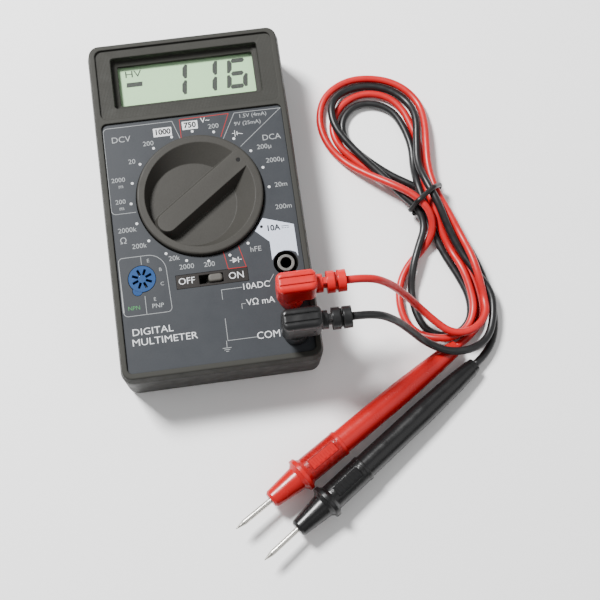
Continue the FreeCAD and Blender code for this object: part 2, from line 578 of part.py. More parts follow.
def make_switch():
    x, y, half = "button_x", "switch_y", "button_w / 2"
    block = box("switch_block", ("switch_x - 8.5", "switch_x + 8.5"), (f"{y} - 2.1", f"{y} + 2.1"),
                ("board_top", "21.2"))
    cavity = box("switch_cavity", (f"{x} - travel - 3.4", f"{x} + 3.4"), (f"{y} - 1.5", f"{y} + 1.5"),
                 ("16.6", "20.4"))
    slot = box("switch_slot", (f"{x} - travel - 2.4", f"{x} + 2.4"), (f"{y} - 1.25", f"{y} + 1.25"),
               ("20", "22"))
    node(cut("switch_cut", block, [cavity, slot]), "switch_body")
    foot = box("slider_foot", (f"{x} - 3.25", f"{x} + 3.25"), (f"{y} - 1.4", f"{y} + 1.4"), ("16.7", "20.3"))
    stem = box("slider_stem", (f"{x} - 2.2", f"{x} + 2.2"), (f"{y} - 1.1", f"{y} + 1.1"), ("20.2", "21.7"))
    cap = plate("slider_cap", (f"{x} - {half}", f"{x} + {half}"),
                (f"{y} - button_l / 2", f"{y} + button_l / 2"),
                "1.1", ("21.6", "button_top"), round_high="0.7")
    node(fuse("slider_whole", [foot, stem, cap]), "switch_slider")
    strip = plate("strip", ("switch_x - switch_plate_w / 2", "switch_x + switch_plate_w / 2"),
                  (f"{y} - switch_plate_l / 2", f"{y} + switch_plate_l / 2"), "0.4",
                  ("panel_seat", "panel_top"))
    way = box("strip_way", (f"{x} - travel - {half} - 0.2", f"{x} + {half} + 0.2"),
              (f"{y} - 1.6", f"{y} + 1.6"),
              ("23", "25"))
    node(cut("strip_cut", strip, [way]), "switch_plate")
    pins = [box(f"switch_pin_{i}", (f"switch_x - {6.2 - 2.5 * i}", f"switch_x - {5.7 - 2.5 * i}"),
                (f"{y} - 0.4", f"{y} + 0.4"), ("board_under - 1.6", "board_under")) for i in range(6)]
    group("switch_pins", pins)


def socket_prism(name, outline, zs):
    """Straight-sided block over an outline of points around the socket's axis."""
    face = Part.Face(Part.makePolygon(outline + outline[:1]))
    item = solid(name, face.extrude(FreeCAD.Vector(0, 0, number(zs[1]) - number(zs[0]))))
    return place(item, "hfe_x", "hfe_y", zs[0])


def make_transistor_socket():
    """Ring with its key tab, around a core of eight blocks that leave a radial slot between each two."""
    turns = [FreeCAD.Rotation(22.5 + 45 * k, 0, 0) for k in range(8)]
    half = number("slot_w") / 2

    def ends(reach):
        """Both corners of every slot's end, going round the socket."""
        return [turn.multVec(FreeCAD.Vector(reach, side * half, 0)) for turn in turns for side in (-1, 1)]

    near, far = ends(number("slot_near")), ends(number("slot_far"))
    top = "panel_top + 0.2"
    body = cylinder("socket_body", "hfe_x", "hfe_y", "hfe_r", ("board_top", top))
    tab = cylinder("socket_tab", "hfe_x - key_x", "hfe_y - key_y", "key_r", ("panel_seat", "panel_top + 0.1"))
    hollow = socket_prism("socket_hollow", far, ("board_top - 1", "panel_top + 1"))
    node(cut("socket_cut", fuse("socket_whole", [body, tab]), [hollow]), "hfe_socket")
    core = [socket_prism("socket_base", far, ("board_top", "slot_floor")),
            socket_prism("socket_hub", near, ("slot_floor", top))]
    for k in range(8):
        here, after = 2 * k + 1, (2 * k + 2) % 16
        outline = [near[here], far[here], far[after], near[after]]
        core.append(socket_prism(f"socket_block_{k}", outline, ("slot_floor", top)))
    group("hfe_core", core)
    pins = []
    for k, turn in enumerate(turns):
        pin = box(f"socket_pin_{k}", ("0", "1.6"), ("0", "0.3"), ("slot_floor", "22"))
        pin.Placement = FreeCAD.Placement(FreeCAD.Vector(), turn)
        corner = turn.multVec(FreeCAD.Vector(number("slot_near") + 0.3, -0.15, 0))
        pins.append(place(pin, f"hfe_x + {corner.x:.4f}", f"hfe_y + {corner.y:.4f}", "slot_floor"))
    group("hfe_contacts", pins)


def make_screws():
    case_screws = []
    for i, (sx, sy) in enumerate(SCREW_PLACES):
        head = cylinder(f"case_head_{i}", sx, sy, "2.6", ("3", "5.4"))
        shank = cylinder(f"case_shank_{i}", sx, sy, "case_screw_r", ("5.3", "19.5"))
        recess = [box(f"case_cross_{i}_a", (f"{sx} - 1.4", f"{sx} + 1.4"), (f"{sy} - 0.3", f"{sy} + 0.3"),
                      ("2", "4")),
                  box(f"case_cross_{i}_b", (f"{sx} - 0.3", f"{sx} + 0.3"), (f"{sy} - 1.4", f"{sy} + 1.4"),
                      ("2", "4"))]
        case_screws.append(cut(f"case_screw_{i}", fuse(f"case_screw_whole_{i}", [head, shank]), recess))
    group("case_screws", case_screws)
    board_screws = []
    for i, (sx, sy) in enumerate(BOARD_SCREWS):
        head = cylinder(f"board_head_{i}", sx, sy, "2", ("board_under - 1.4", "board_under"))
        shank = cylinder(f"board_shank_{i}", sx, sy, "1", ("board_under - 0.1", "19"))
        board_screws.append(fuse(f"board_screw_{i}", [head, shank]))
    group("board_screws", board_screws)


# ---------------------------------------------------------------- jacks, plugs, leads and probes
def make_jacks():
    for i, jack in enumerate(JACKS):
        barrel = cylinder(f"sleeve_{jack}", "jack_x", jack_row(i), "sleeve_out - 0.01",
                          ("sleeve_low", "sleeve_top - 0.4"))
        lip = cylinder(f"sleeve_lip_{jack}", "jack_x", jack_row(i), "post_r",
                       ("sleeve_top - 0.5", "sleeve_top"))
        bore = cylinder(f"sleeve_bore_{jack}", "jack_x", jack_row(i), "sleeve_r",
                        ("sleeve_low - 1", "sleeve_top + 1"))
        node(cut(f"sleeve_cut_{jack}", fuse(f"sleeve_whole_{jack}", [barrel, lip]), [bore]), f"jack_{jack}")


def make_plug(colour, index):
    x, y = "jack_x", jack_row(index)
    shroud = cylinder(f"{colour}_shroud", x, y, "shroud_r", ("well_floor + 0.6", "24.7"))
    barrel = cylinder(f"{colour}_barrel", x, y, "barrel_r", ("24.6", "head_low + 0.5"))
    head = plate(f"{colour}_head", ("head_start", "head_end"), (f"{y} - head_half", f"{y} + head_half"),
                 "2.2",
                 ("head_low", "head_top"), round_low="1", round_high="1.6")
    core = across(cylinder(f"{colour}_boot_core", "0", "0", "boot_core", ("0", "boot_end - head_end + 0.5")),
                  "head_end - 0.5", y, "boot_level", "X")
    ribs = [across(cylinder(f"{colour}_rib_{i}", "0", "0", r, ("0", long)), start, y, "boot_level", "X")
            for i, (r, start, long) in enumerate((("boot_small", "head_end - 0.2", "2.2"),
                                                  ("boot_big", "head_end + 3.4", "2.7"),
                                                  ("boot_big", "head_end + 7.1", "2.9")))]
    ribs += [box(f"{colour}_web_low", ("head_end + 1.9", "head_end + 3.5"), (f"{y} - 1.1", f"{y} + 1.1"),
                 ("boot_level - 3", "boot_level + 3")),
             box(f"{colour}_web_high", ("head_end + 6", "head_end + 7.2"), (f"{y} - 3", f"{y} + 3"),
                 ("boot_level - 1.1", "boot_level + 1.1"))]
    lines = [box(f"{colour}_head_line_{i}", ("head_start + 1.2", "head_end + 1"),
                 (f"{y} + {side} - 0.25", f"{y} + {side} + 0.25"), ("head_top - 0.3", "head_top + 1"))
             for i, side in enumerate((-1.3, 1.3))]
    hollow = cylinder(f"{colour}_shroud_bore", x, y, "shroud_bore", ("well_floor", "24.6"))
    pin_way = cylinder(f"{colour}_pin_way", x, y, "pin_r", ("24", "head_low + 4"))
    whole = fuse(f"{colour}_plug_whole", [shroud, barrel, head, core] + ribs)
    node(cut(f"{colour}_plug_cut", whole, [hollow, pin_way] + lines), f"{colour}_plug")
    shank = cylinder(f"{colour}_pin_shank", x, y, "pin_r", ("pin_low + 1", "head_low + 4"))
    point = cone(f"{colour}_pin_point", x, y, "pin_r - 0.8", "pin_r", ("pin_low", "pin_low + 1"))
    node(fuse(f"{colour}_pin_whole", [shank, point]), f"{colour}_plug_pin")


def lead_end(name, end, inner):
    """Cylinder that matches the first run of a lead, used to seat it."""
    start, way = FreeCAD.Vector(*end), FreeCAD.Vector(*inner) - FreeCAD.Vector(*end)
    return solid(name, Part.makeCylinder(number("cord_r"), 4, start, way))


def tube(points, radius):
    """Round tube of straight runs joined by tangent arcs; returns it with its bend radii."""
    nodes = [FreeCAD.Vector(*p) for p in points]
    edges = []
    bends = []
    length = 0.0
    start = nodes[0]
    for before, here, after in zip(nodes, nodes[1:], nodes[2:]):
        back, ahead = before - here, after - here
        half_turn = (math.pi - back.getAngle(ahead)) / 2
        leg = 0.45 * min(back.Length, ahead.Length)
        bend = leg / math.tan(half_turn)
        back.normalize()
        ahead.normalize()
        first, last = here + back * leg, here + ahead * leg
        middle = back + ahead
        middle.normalize()
        crown = here + middle * (bend / math.cos(half_turn) - bend)
        edges.append(Part.makeLine(start, first))
        edges.append(Part.Arc(first, crown, last).toShape())
        length += (first - start).Length + 2 * half_turn * bend
        start = last
        bends.append(bend)
    edges.append(Part.makeLine(start, nodes[-1]))
    length += (nodes[-1] - start).Length
    circle = Part.Circle(nodes[0], nodes[1] - nodes[0], radius).toShape()
    shape = Part.Wire(edges).makePipeShell([Part.Wire(circle)], True, False)
    return shape, (bends, length)


def make_cord(colour, points):
    """Test lead from its plug to its probe."""
    radius = number("cord_r")
    shape, (bends, length) = tube(points, radius)
    ratio = shape.Volume / (math.pi * radius ** 2 * length)
    print(f"{colour} lead: length {length:.1f} mm, radius {radius} mm, bends {min(bends):.1f}"
          f" to {max(bends):.1f} mm, volume over section times length {ratio:.4f}")
    node(solid(f"{colour}_lead", shape), f"{colour}_cord")


def make_probe(colour, rear, guard, cord):
    """Probe handle with finger guard, grip pad and needle, lying between rear and guard centres."""
    end = "handle_l + nose_l"
    handle = [cone(f"{colour}_tail", "0", "0", "tail_r - 0.35", "tail_r + 0.05", ("0", "3")),
              cone(f"{colour}_taper", "0", "0", "tail_r", "shank_r - 0.6", ("2", "10")),
              cone(f"{colour}_swell", "0", "0", "shank_r - 0.6", "shank_r", ("10", "26")),
              cone(f"{colour}_shank", "0", "0", "shank_r", "grip_r", ("26", "grip_start + 1")),
              cylinder(f"{colour}_collar", "0", "0", "grip_r + 0.45",
                       ("grip_start - 0.8", "grip_start + 0.4")),
              cylinder(f"{colour}_grip", "0", "0", "grip_r + 0.3", ("grip_start", "handle_l - 1")),
              cone(f"{colour}_guard_back", "0", "0", "grip_r + 0.3", "guard_r - 0.4",
                   ("handle_l - 2.2", "handle_l - 0.8")),
              cylinder(f"{colour}_guard", "0", "0", "guard_r", ("handle_l - 0.9", "handle_l + 0.6")),
              cone(f"{colour}_guard_front", "0", "0", "guard_r - 0.5", "grip_r + 0.1",
                   ("handle_l + 0.5", "handle_l + 1.8")),
              cone(f"{colour}_nose", "0", "0", "grip_r + 0.05", "nose_r", ("handle_l + 1", f"{end} - 0.8")),
              cone(f"{colour}_nose_end", "0", "0", "nose_r", "nose_r - 0.7", (f"{end} - 0.81", end))]
    recess = box(f"{colour}_recess", ("grip_r - 0.2", "6"), ("-1.9", "1.9"),
                 ("handle_l - 15", "handle_l - 4"))
    needle_way = cylinder(f"{colour}_needle_way", "0", "0", "needle_r",
                          (f"{end} - 8", f"{end} + 5"))
    body = cut(f"{colour}_handle_body", fuse(f"{colour}_handle_whole", handle), [recess, needle_way])
    pad = box(f"{colour}_pad", ("grip_r - 0.2", "grip_r + 0.1"), ("-1.8", "1.8"),
              ("handle_l - 14.9", "handle_l - 4.1"))
    ribs = [box(f"{colour}_pad_rib_{i}", ("grip_r", "grip_r + 0.25"), ("-1.3", "1.3"),
                (f"handle_l - {14 - 2 * i}", f"handle_l - {13 - 2 * i}")) for i in range(5)]
    rod = cylinder(f"{colour}_rod", "0", "0", "needle_r", (f"{end} - 8", f"{end} + needle_l - 3.4"))
    tip = cone(f"{colour}_tip", "0", "0", "needle_r", "0.15",
               (f"{end} + needle_l - 3.4", f"{end} + needle_l"))
    axis = FreeCAD.Vector(*guard) - FreeCAD.Vector(*rear)
    up = FreeCAD.Vector(0, 0, 1)
    seat = FreeCAD.Placement(FreeCAD.Vector(*rear), FreeCAD.Rotation(up, up.cross(axis) * -1, axis, "ZXY"))
    needle = fuse(f"{colour}_needle_whole", [rod, tip])
    needle.Placement = seat
    body.Placement = seat
    grip = fuse(f"{colour}_pad_whole", [pad] + ribs)
    grip.Placement = seat
    entry = lead_end(f"{colour}_probe_entry", cord[-1], cord[-2])
    node(cut(f"{colour}_handle_cut", body, [entry]), f"{colour}_probe_handle")
    node(grip, f"{colour}_probe_grip")
    node(needle, f"{colour}_probe_needle")


def make_tie():
    """Band round the bundle of leads."""
    outer = plate("tie_outer", ("-7.8", "8"), ("0", "10.9"), "3.6", ("-0.9", "0.9"))
    inner = plate("tie_inner", ("-7.1", "7.3"), ("0.7", "10.2"), "3", ("-2", "2"))
    band = cut("tie_band", outer, [inner])
    up = FreeCAD.Vector(0, 0, 1)
    across_bundle = FreeCAD.Vector(0.8, 0.6, 0)
    along_bundle = FreeCAD.Vector(0.6, -0.8, 0)
    band.Placement = FreeCAD.Placement(FreeCAD.Vector(82.0, -4.4, 0),
                                       FreeCAD.Rotation(across_bundle, up, along_bundle, "ZXY"))
    node(band, "cord_tie")


RED_CORD = [
    (44.6, -40.6, 37.6), (52.4, -40.6, 37.6), (59.6, -41.6, 30.8), (65.4, -42.8, 19.8), (70.8, -45.3, 10.6),
    (77.3, -52.3, 7.9), (82.6, -57.1, 7.9), (90.2, -57.2, 7.9), (96.2, -51.6, 6.8), (96.7, -44.6, 5.1),
    (95.8, -38.0, 7.8), (94.6, -29.5, 7.9), (92.7, -20.8, 4.8), (89.7, -11.5, 5.2), (86.1, -1.8, 5.5),
    (84.9, 7.5, 4.7), (85.7, 16.5, 4.7), (87.0, 26.0, 3.6), (86.5, 35.5, 1.5), (80.5, 43.5, 1.5),
    (71.5, 47.6, 1.5), (60.5, 48.2, 1.5), (51.0, 43.0, 1.5), (47.3, 33.5, 1.5), (48.8, 23.5, 1.5),
    (54.5, 15.0, 1.5), (62.0, 8.0, 4.8), (69.3, 2.2, 8.1), (76.5, -2.8, 8.7), (82.0, -9.5, 8.7),
    (83.0, -16.8, 5.2), (78.5, -22.8, 1.7), (72.2, -27.5, 1.5), (67.6, -34.5, 1.5), (66.2, -42.5, 1.5),
    (67.6, -49.8, 1.5), (71.2, -54.6, 2.4), (76.4, -57.4, 4.7), (83.2, -57.9, 4.7), (89.4, -54.9, 4.7),
    (92.6, -48.5, 4.7), (92.5, -40.5, 4.7), (91.0, -32.5, 4.7), (88.4, -25.0, 2.0), (86.0, -17.5, 3.4),
    (84.9, -9.0, 5.5), (82.6, -0.2, 5.5), (82.9, 8.5, 2.0), (83.9, 17.0, 1.5), (82.0, 26.5, 1.5),
    (79.4, 34.6, 1.5), (73.8, 40.1, 1.5), (65.3, 42.0, 1.5), (56.7, 38.6, 1.5), (51.9, 31.0, 1.5),
    (52.6, 22.8, 1.5), (58.5, 15.3, 1.5), (66.0, 8.0, 1.5), (73.5, 1.5, 2.2), (81.0, -4.3, 2.3),
    (86.5, -11.5, 2.0), (90.4, -21.0, 1.5), (93.6, -30.5, 1.5), (95.4, -40.0, 1.5), (95.7, -47.6, 1.5),
    (93.6, -54.0, 1.5), (88.7, -58.3, 2.2), (83.9, -61.1, 3.0)]
BLACK_CORD = [
    (44.6, -53.3, 37.6), (52.4, -53.3, 37.6), (59.6, -54.5, 30.6), (65.8, -56.4, 19.8), (72.0, -59.6, 10.4),
    (80.0, -63.6, 7.9), (88.5, -63.9, 7.6), (95.6, -60.0, 5.2), (99.1, -51.8, 4.7), (100.0, -43.0, 4.7),
    (95.4, -34.4, 4.7), (91.2, -26.0, 4.7), (88.0, -16.5, 6.1), (85.5, -7.0, 8.7), (82.5, 1.5, 8.2),
    (81.2, 10.0, 4.7), (82.4, 19.0, 4.7), (84.0, 28.5, 4.4), (82.3, 36.4, 1.6), (75.8, 42.6, 1.5),
    (66.8, 45.2, 1.5), (57.5, 43.4, 2.2), (52.3, 37.5, 4.7), (52.3, 29.5, 4.7), (56.3, 21.8, 4.7),
    (61.8, 14.0, 4.7), (68.2, 6.0, 4.6), (73.4, -2.0, 5.5), (78.4, -7.8, 5.5), (80.0, -15.0, 4.7),
    (76.3, -22.3, 4.7), (73.0, -29.8, 4.4), (71.2, -38.0, 1.5), (71.7, -47.0, 1.5), (74.6, -53.6, 1.5),
    (80.8, -56.6, 1.5), (87.1, -55.5, 1.5), (91.5, -50.8, 1.5), (92.3, -43.0, 1.5), (89.6, -34.5, 1.5),
    (85.6, -25.5, 1.5), (83.2, -17.0, 1.8), (81.5, -8.8, 5.5), (79.7, 1.0, 5.9), (79.9, 9.5, 1.7),
    (80.8, 18.0, 1.5), (79.0, 26.5, 1.5), (75.8, 33.6, 1.5), (69.0, 37.5, 1.5), (61.8, 37.4, 1.5),
    (56.7, 33.1, 1.5), (55.3, 26.6, 1.5), (58.6, 20.0, 1.5), (64.2, 13.7, 1.5), (71.0, 7.6, 1.5),
    (77.5, 3.0, 2.2), (83.6, -1.6, 2.3), (88.6, -9.0, 1.9), (92.8, -18.5, 1.5), (96.5, -28.0, 1.5),
    (98.9, -38.0, 1.5), (100.2, -48.0, 1.5), (99.2, -57.0, 1.5), (95.0, -64.6, 2.2), (89.3, -68.5, 3.0)]
RED_PROBE = ((83.9, -61.1, 3.0), (21.9, -99.6, 6.35))
BLACK_PROBE = ((89.3, -68.5, 3.0), (29.3, -110.1, 6.35))


# ---------------------------------------------------------------- build
def build():
    make_back_cover()
    make_front_cover()
    make_function_panel()
    make_display()
    make_selector()
    make_board()
    make_components()
    make_battery()
    make_switch()
    make_transistor_socket()
    make_screws()
    make_jacks()
    make_plug("red", 1)
    make_plug("black", 2)
    make_cord("red", RED_CORD)
    make_cord("black", BLACK_CORD)
    make_probe("red", *RED_PROBE, RED_CORD)
    make_probe("black", *BLACK_PROBE, BLACK_CORD)
    make_tie()
    doc.recompute()


def check():
    """Stop when a document object is in error or a sub-part is not a sound shape."""
    for obj in doc.Objects:
        if "Invalid" in obj.State or "Error" in obj.State:
            raise RuntimeError(f"{obj.Name} did not recompute: {obj.getStatusString()}")
    for item in NODES:
        if item.Shape.isNull() or not item.Shape.isValid() or not item.Shape.Solids:
            raise RuntimeError(f"{item.Label} has no sound shape")


build()
check()
os.makedirs("parts", exist_ok=True)
for item in NODES:
    item.Shape.exportStep(f"parts/{item.Label}.step")
print(f"{len(NODES)} sub-parts written")
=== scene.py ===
import math

import bpy
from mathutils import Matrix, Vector


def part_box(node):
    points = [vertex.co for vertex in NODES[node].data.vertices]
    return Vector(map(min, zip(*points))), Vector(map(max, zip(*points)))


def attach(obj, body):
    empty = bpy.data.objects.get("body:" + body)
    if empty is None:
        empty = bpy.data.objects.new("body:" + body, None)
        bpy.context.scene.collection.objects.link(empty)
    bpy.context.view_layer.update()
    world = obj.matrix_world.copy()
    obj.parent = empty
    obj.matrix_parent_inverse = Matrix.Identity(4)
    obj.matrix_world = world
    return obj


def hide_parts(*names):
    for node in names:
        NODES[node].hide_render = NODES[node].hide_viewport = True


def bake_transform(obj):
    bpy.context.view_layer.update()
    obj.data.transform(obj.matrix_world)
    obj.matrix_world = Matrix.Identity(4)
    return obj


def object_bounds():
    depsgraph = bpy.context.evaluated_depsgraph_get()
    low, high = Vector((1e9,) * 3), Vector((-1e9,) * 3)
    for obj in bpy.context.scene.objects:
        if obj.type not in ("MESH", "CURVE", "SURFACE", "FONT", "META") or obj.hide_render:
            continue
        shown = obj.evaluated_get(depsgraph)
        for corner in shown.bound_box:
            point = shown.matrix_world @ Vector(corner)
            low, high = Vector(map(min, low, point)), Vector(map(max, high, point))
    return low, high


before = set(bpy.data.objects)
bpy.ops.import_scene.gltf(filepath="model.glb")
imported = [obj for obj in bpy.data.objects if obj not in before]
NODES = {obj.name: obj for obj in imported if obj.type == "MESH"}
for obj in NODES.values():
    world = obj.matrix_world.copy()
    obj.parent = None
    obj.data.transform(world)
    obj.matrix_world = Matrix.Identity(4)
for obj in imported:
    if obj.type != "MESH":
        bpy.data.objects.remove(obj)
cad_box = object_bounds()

MM = 0.001


# ---------------------------------------------------------------- camera
# Fitted to the corners of the meter's face; metres, radians and millimetres of focal length.
CAMERA_PLACE = (0.003846, -0.151857, 0.438221)
CAMERA_TURN = (0.265019, -0.023451, -0.139952)
FOCAL_LENGTH = 74.47


def make_camera():
    data = bpy.data.cameras.new("camera")
    data.sensor_width = 36.0
    data.lens = FOCAL_LENGTH
    data.clip_start = 0.01
    camera = bpy.data.objects.new("camera", data)
    camera.location = CAMERA_PLACE
    camera.rotation_euler = CAMERA_TURN
    bpy.context.collection.objects.link(camera)
    bpy.context.scene.camera = camera


make_camera()

# ---------------------------------------------------------------- materials
class Surface:
    """A Principled material built up from procedural nodes in object space."""

    def __init__(self, name, colour, roughness=0.5, **sockets):
        self.material = bpy.data.materials.new(name)
        self.material.use_nodes = True
        self.nodes = self.material.node_tree.nodes
        self.links = self.material.node_tree.links
        self.shader = self.nodes["Principled BSDF"]
        self.colour = colour
        self.shader.inputs["Base Color"].default_value = (*colour, 1)
        self.shader.inputs["Roughness"].default_value = roughness
        for socket, value in sockets.items():
            self.shader.inputs[socket.replace("_", " ")].default_value = value
        self.place = self.nodes.new("ShaderNodeTexCoord").outputs["Object"]
        self.normal = None

    def link(self, source, target):
        self.links.new(source, target)

    def stretched(self, scale):
        """Object coordinates scaled differently along each axis."""
        mapping = self.nodes.new("ShaderNodeMapping")
        mapping.inputs["Scale"].default_value = scale
        self.link(self.place, mapping.inputs["Vector"])
        return mapping.outputs["Vector"]

    def noise(self, scale, detail=3.0, roughness=0.5, place=None):
        texture = self.nodes.new("ShaderNodeTexNoise")
        texture.inputs["Scale"].default_value = scale
        texture.inputs["Detail"].default_value = detail
        texture.inputs["Roughness"].default_value = roughness
        self.link(place or self.place, texture.inputs["Vector"])
        return texture.outputs["Fac"]

    def level(self, axis, start=(0.0, 0.0, 0.0)):
        """Distance of each point from start, measured along an axis."""
        move = self.nodes.new("ShaderNodeVectorMath")
        move.operation = "SUBTRACT"
        move.inputs[1].default_value = start
        self.link(self.place, move.inputs[0])
        dot = self.nodes.new("ShaderNodeVectorMath")
        dot.operation = "DOT_PRODUCT"
        dot.inputs[1].default_value = axis
        self.link(move.outputs["Vector"], dot.inputs[0])
        return dot.outputs["Value"]

    def product(self, first, second):
        node = self.nodes.new("ShaderNodeMath")
        node.operation = "MULTIPLY"
        self.link(first, node.inputs[0])
        self.link(second, node.inputs[1])
        return node.outputs["Value"]

    def cells(self, scale):
        texture = self.nodes.new("ShaderNodeTexVoronoi")
        texture.inputs["Scale"].default_value = scale
        self.link(self.place, texture.inputs["Vector"])
        return texture.outputs["Distance"]

    def wave(self, scale, axis="X", place=None):
        texture = self.nodes.new("ShaderNodeTexWave")
        texture.bands_direction = axis
        texture.inputs["Scale"].default_value = scale
        texture.inputs["Distortion"].default_value = 0.0
        self.link(place or self.place, texture.inputs["Vector"])
        return texture.outputs["Fac"]

    def remap(self, value, low, high, start=0.3, end=0.7):
        node = self.nodes.new("ShaderNodeMapRange")
        node.inputs["From Min"].default_value = start
        node.inputs["From Max"].default_value = end
        node.inputs["To Min"].default_value = low
        node.inputs["To Max"].default_value = high
        self.link(value, node.inputs["Value"])
        return node.outputs["Result"]

    def tint(self, fac, other):
        """Mix another colour over the base by a factor; calls stack."""
        node = self.nodes.new("ShaderNodeMix")
        node.data_type = "RGBA"
        self.link(fac, node.inputs["Factor"])
        previous = self.shader.inputs["Base Color"]
        if previous.is_linked:
            self.link(previous.links[0].from_socket, node.inputs["A"])
        else:
            node.inputs["A"].default_value = (*self.colour, 1)
        node.inputs["B"].default_value = (*other, 1)
        self.link(node.outputs["Result"], self.shader.inputs["Base Color"])
        return self

    def rough(self, value):
        self.link(value, self.shader.inputs["Roughness"])
        return self

    def soften(self, radius):
        """Rounded look along the sharp edges of a machined solid."""
        node = self.nodes.new("ShaderNodeBevel")
        node.samples = 6
        node.inputs["Radius"].default_value = radius
        self.normal = node.outputs["Normal"]
        self.link(self.normal, self.shader.inputs["Normal"])
        return self

    def bump(self, height, strength, distance):
        node = self.nodes.new("ShaderNodeBump")
        node.inputs["Strength"].default_value = strength
        node.inputs["Distance"].default_value = distance
        self.link(height, node.inputs["Height"])
        if self.normal is not None:
            self.link(self.normal, node.inputs["Normal"])
        self.normal = node.outputs["Normal"]
        self.link(self.normal, self.shader.inputs["Normal"])
        return self

    def edge_wear(self, other, amount):
        """Lighter colour where the surface turns sharply outwards."""
        shape = self.nodes.new("ShaderNodeNewGeometry")
        fac = self.remap(shape.outputs["Pointiness"], 0.0, amount, 0.52, 0.60)
        return self.tint(fac, other)


def lighter(colour, factor):
    return tuple(min(1.0, c * factor) for c in colour)


MATERIALS = {}


def moulded(name, colour, roughness=(0.42, 0.58), grain=2600.0, depth=0.00003, soften=0.0004, wear=0.35,
            **sockets):
    """Injection-moulded plastic: fine spark-eroded grain, faint mottling, paler worn edges."""
    sockets.setdefault("Specular_IOR_Level", 0.14)
    surface = Surface(name, colour, **sockets)
    surface.tint(surface.remap(surface.noise(90.0, 4.0), 0.0, 0.5), lighter(colour, 0.86))
    surface.tint(surface.remap(surface.noise(1400.0, 2.0), 0.0, 0.35), lighter(colour, 1.16))
    surface.edge_wear(lighter(colour, 1.5), wear)
    surface.rough(surface.remap(surface.noise(260.0, 3.0), *roughness))
    if soften:
        surface.soften(soften)
    surface.bump(surface.noise(grain, 2.0), 0.55, depth)
    MATERIALS[name] = surface
    return surface


# Height of the printed panel, and of the raised rim of the case round it.
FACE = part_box("function_panel")[1][2]
CASE_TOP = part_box("front_cover")[1][2]


def make_front_plastic():
    """Case plastic whose raised rim is smooth and paler than the finely woven texture below it."""
    colour = (0.032, 0.0318, 0.0285)
    front = moulded("case_front", colour, soften=0.0006, depth=0.00005, grain=1900.0, Specular_IOR_Level=0.06)
    height = front.level((0.0, 0.0, 1.0))
    rim = front.remap(height, 0.0, 1.0, FACE + 0.3 * MM, CASE_TOP - 0.1 * MM)
    front.tint(rim, lighter(colour, 1.08))
    low = front.remap(height, 1.0, 0.0, FACE + 0.1 * MM, CASE_TOP - 0.3 * MM)
    weave = front.product(front.wave(620.0, "X", front.stretched((1.0, 0.35, 1.0))), front.wave(520.0, "Y"))
    front.bump(front.product(weave, low), 0.6, 0.00009)


def make_face_plastics():
    """Plastics of the case, the panel and what is set in it."""
    moulded("case_back", (0.034, 0.0338, 0.0315), soften=0.0005, depth=0.00006, grain=1700.0,
            Specular_IOR_Level=0.06)
    moulded("knob", (0.035, 0.0335, 0.0300), (0.40, 0.52), soften=0.0005, Specular_IOR_Level=0.09)
    moulded("panel", (0.031, 0.0335, 0.0375), (0.34, 0.44), grain=3600.0, depth=0.00002, soften=0.0002,
            wear=0.15, Specular_IOR_Level=0.10)
    moulded("switch_dark", (0.012, 0.010, 0.009), (0.36, 0.5), soften=0.0002)
    moulded("switch_button", (0.07, 0.067, 0.060), (0.40, 0.5), soften=0.0003)
    moulded("socket", (0.004, 0.033, 0.112), (0.32, 0.45), soften=0.0)
    moulded("inner", (0.012, 0.012, 0.012), (0.35, 0.5), soften=0.0002)


# Where each probe's handle starts and where its guard is, in millimetres.
PROBE_ENDS = {"red": ((83.9, -61.1, 3.0), (21.9, -99.6, 6.35)),
              "black": ((89.3, -68.5, 3.0), (29.3, -110.1, 6.35))}
# Stretch of the handle that is knurled, from its rear end: nothing, full, full, nothing.
KNURL_RISE = (56.2 * MM, 56.8 * MM)
KNURL_FALL = (70.6 * MM, 71.0 * MM)


def make_handle_plastic(name, base):
    """Probe plastic, smooth along its shank and finely knurled on the finger grip, in the plug's colour darkened as
    painted shade.
    """
    # Painted shade: the plug's plastic darkened to 0.82, standing in for the shade along the side-lit handle.
    colour = lighter(base, 0.82)
    handle = moulded(f"{name}_handle", colour, (0.20, 0.30), grain=1500.0, soften=0.0005, wear=0.2,
                     Specular_IOR_Level=0.35)
    rear, guard = (Vector(p) * MM for p in PROBE_ENDS[name])
    reach = handle.level(tuple((guard - rear).normalized()), tuple(rear))
    grip = handle.product(handle.remap(reach, 0.0, 1.0, *KNURL_RISE), handle.remap(reach, 1.0, 0.0, *KNURL_FALL))
    knurl = handle.product(handle.cells(2000.0), grip)
    handle.tint(knurl, lighter(colour, 0.35))
    handle.bump(knurl, 0.6, 0.00008)


def make_lead_plastic(name, colour):
    """Soft shiny sleeve of a test lead, dull in places."""
    lead = Surface(name, colour, Specular_IOR_Level=0.35, Coat_Weight=0.08, Coat_Roughness=0.3)
    lead.tint(lead.remap(lead.noise(160.0, 4.0), 0.0, 0.5), lighter(colour, 0.72))
    lead.tint(lead.remap(lead.noise(1900.0, 2.0), 0.0, 0.3), lighter(colour, 1.35))
    lead.rough(lead.remap(lead.noise(420.0, 3.0), 0.30, 0.46))
    lead.bump(lead.noise(700.0, 3.0), 0.35, 0.00006)
    MATERIALS[name] = lead


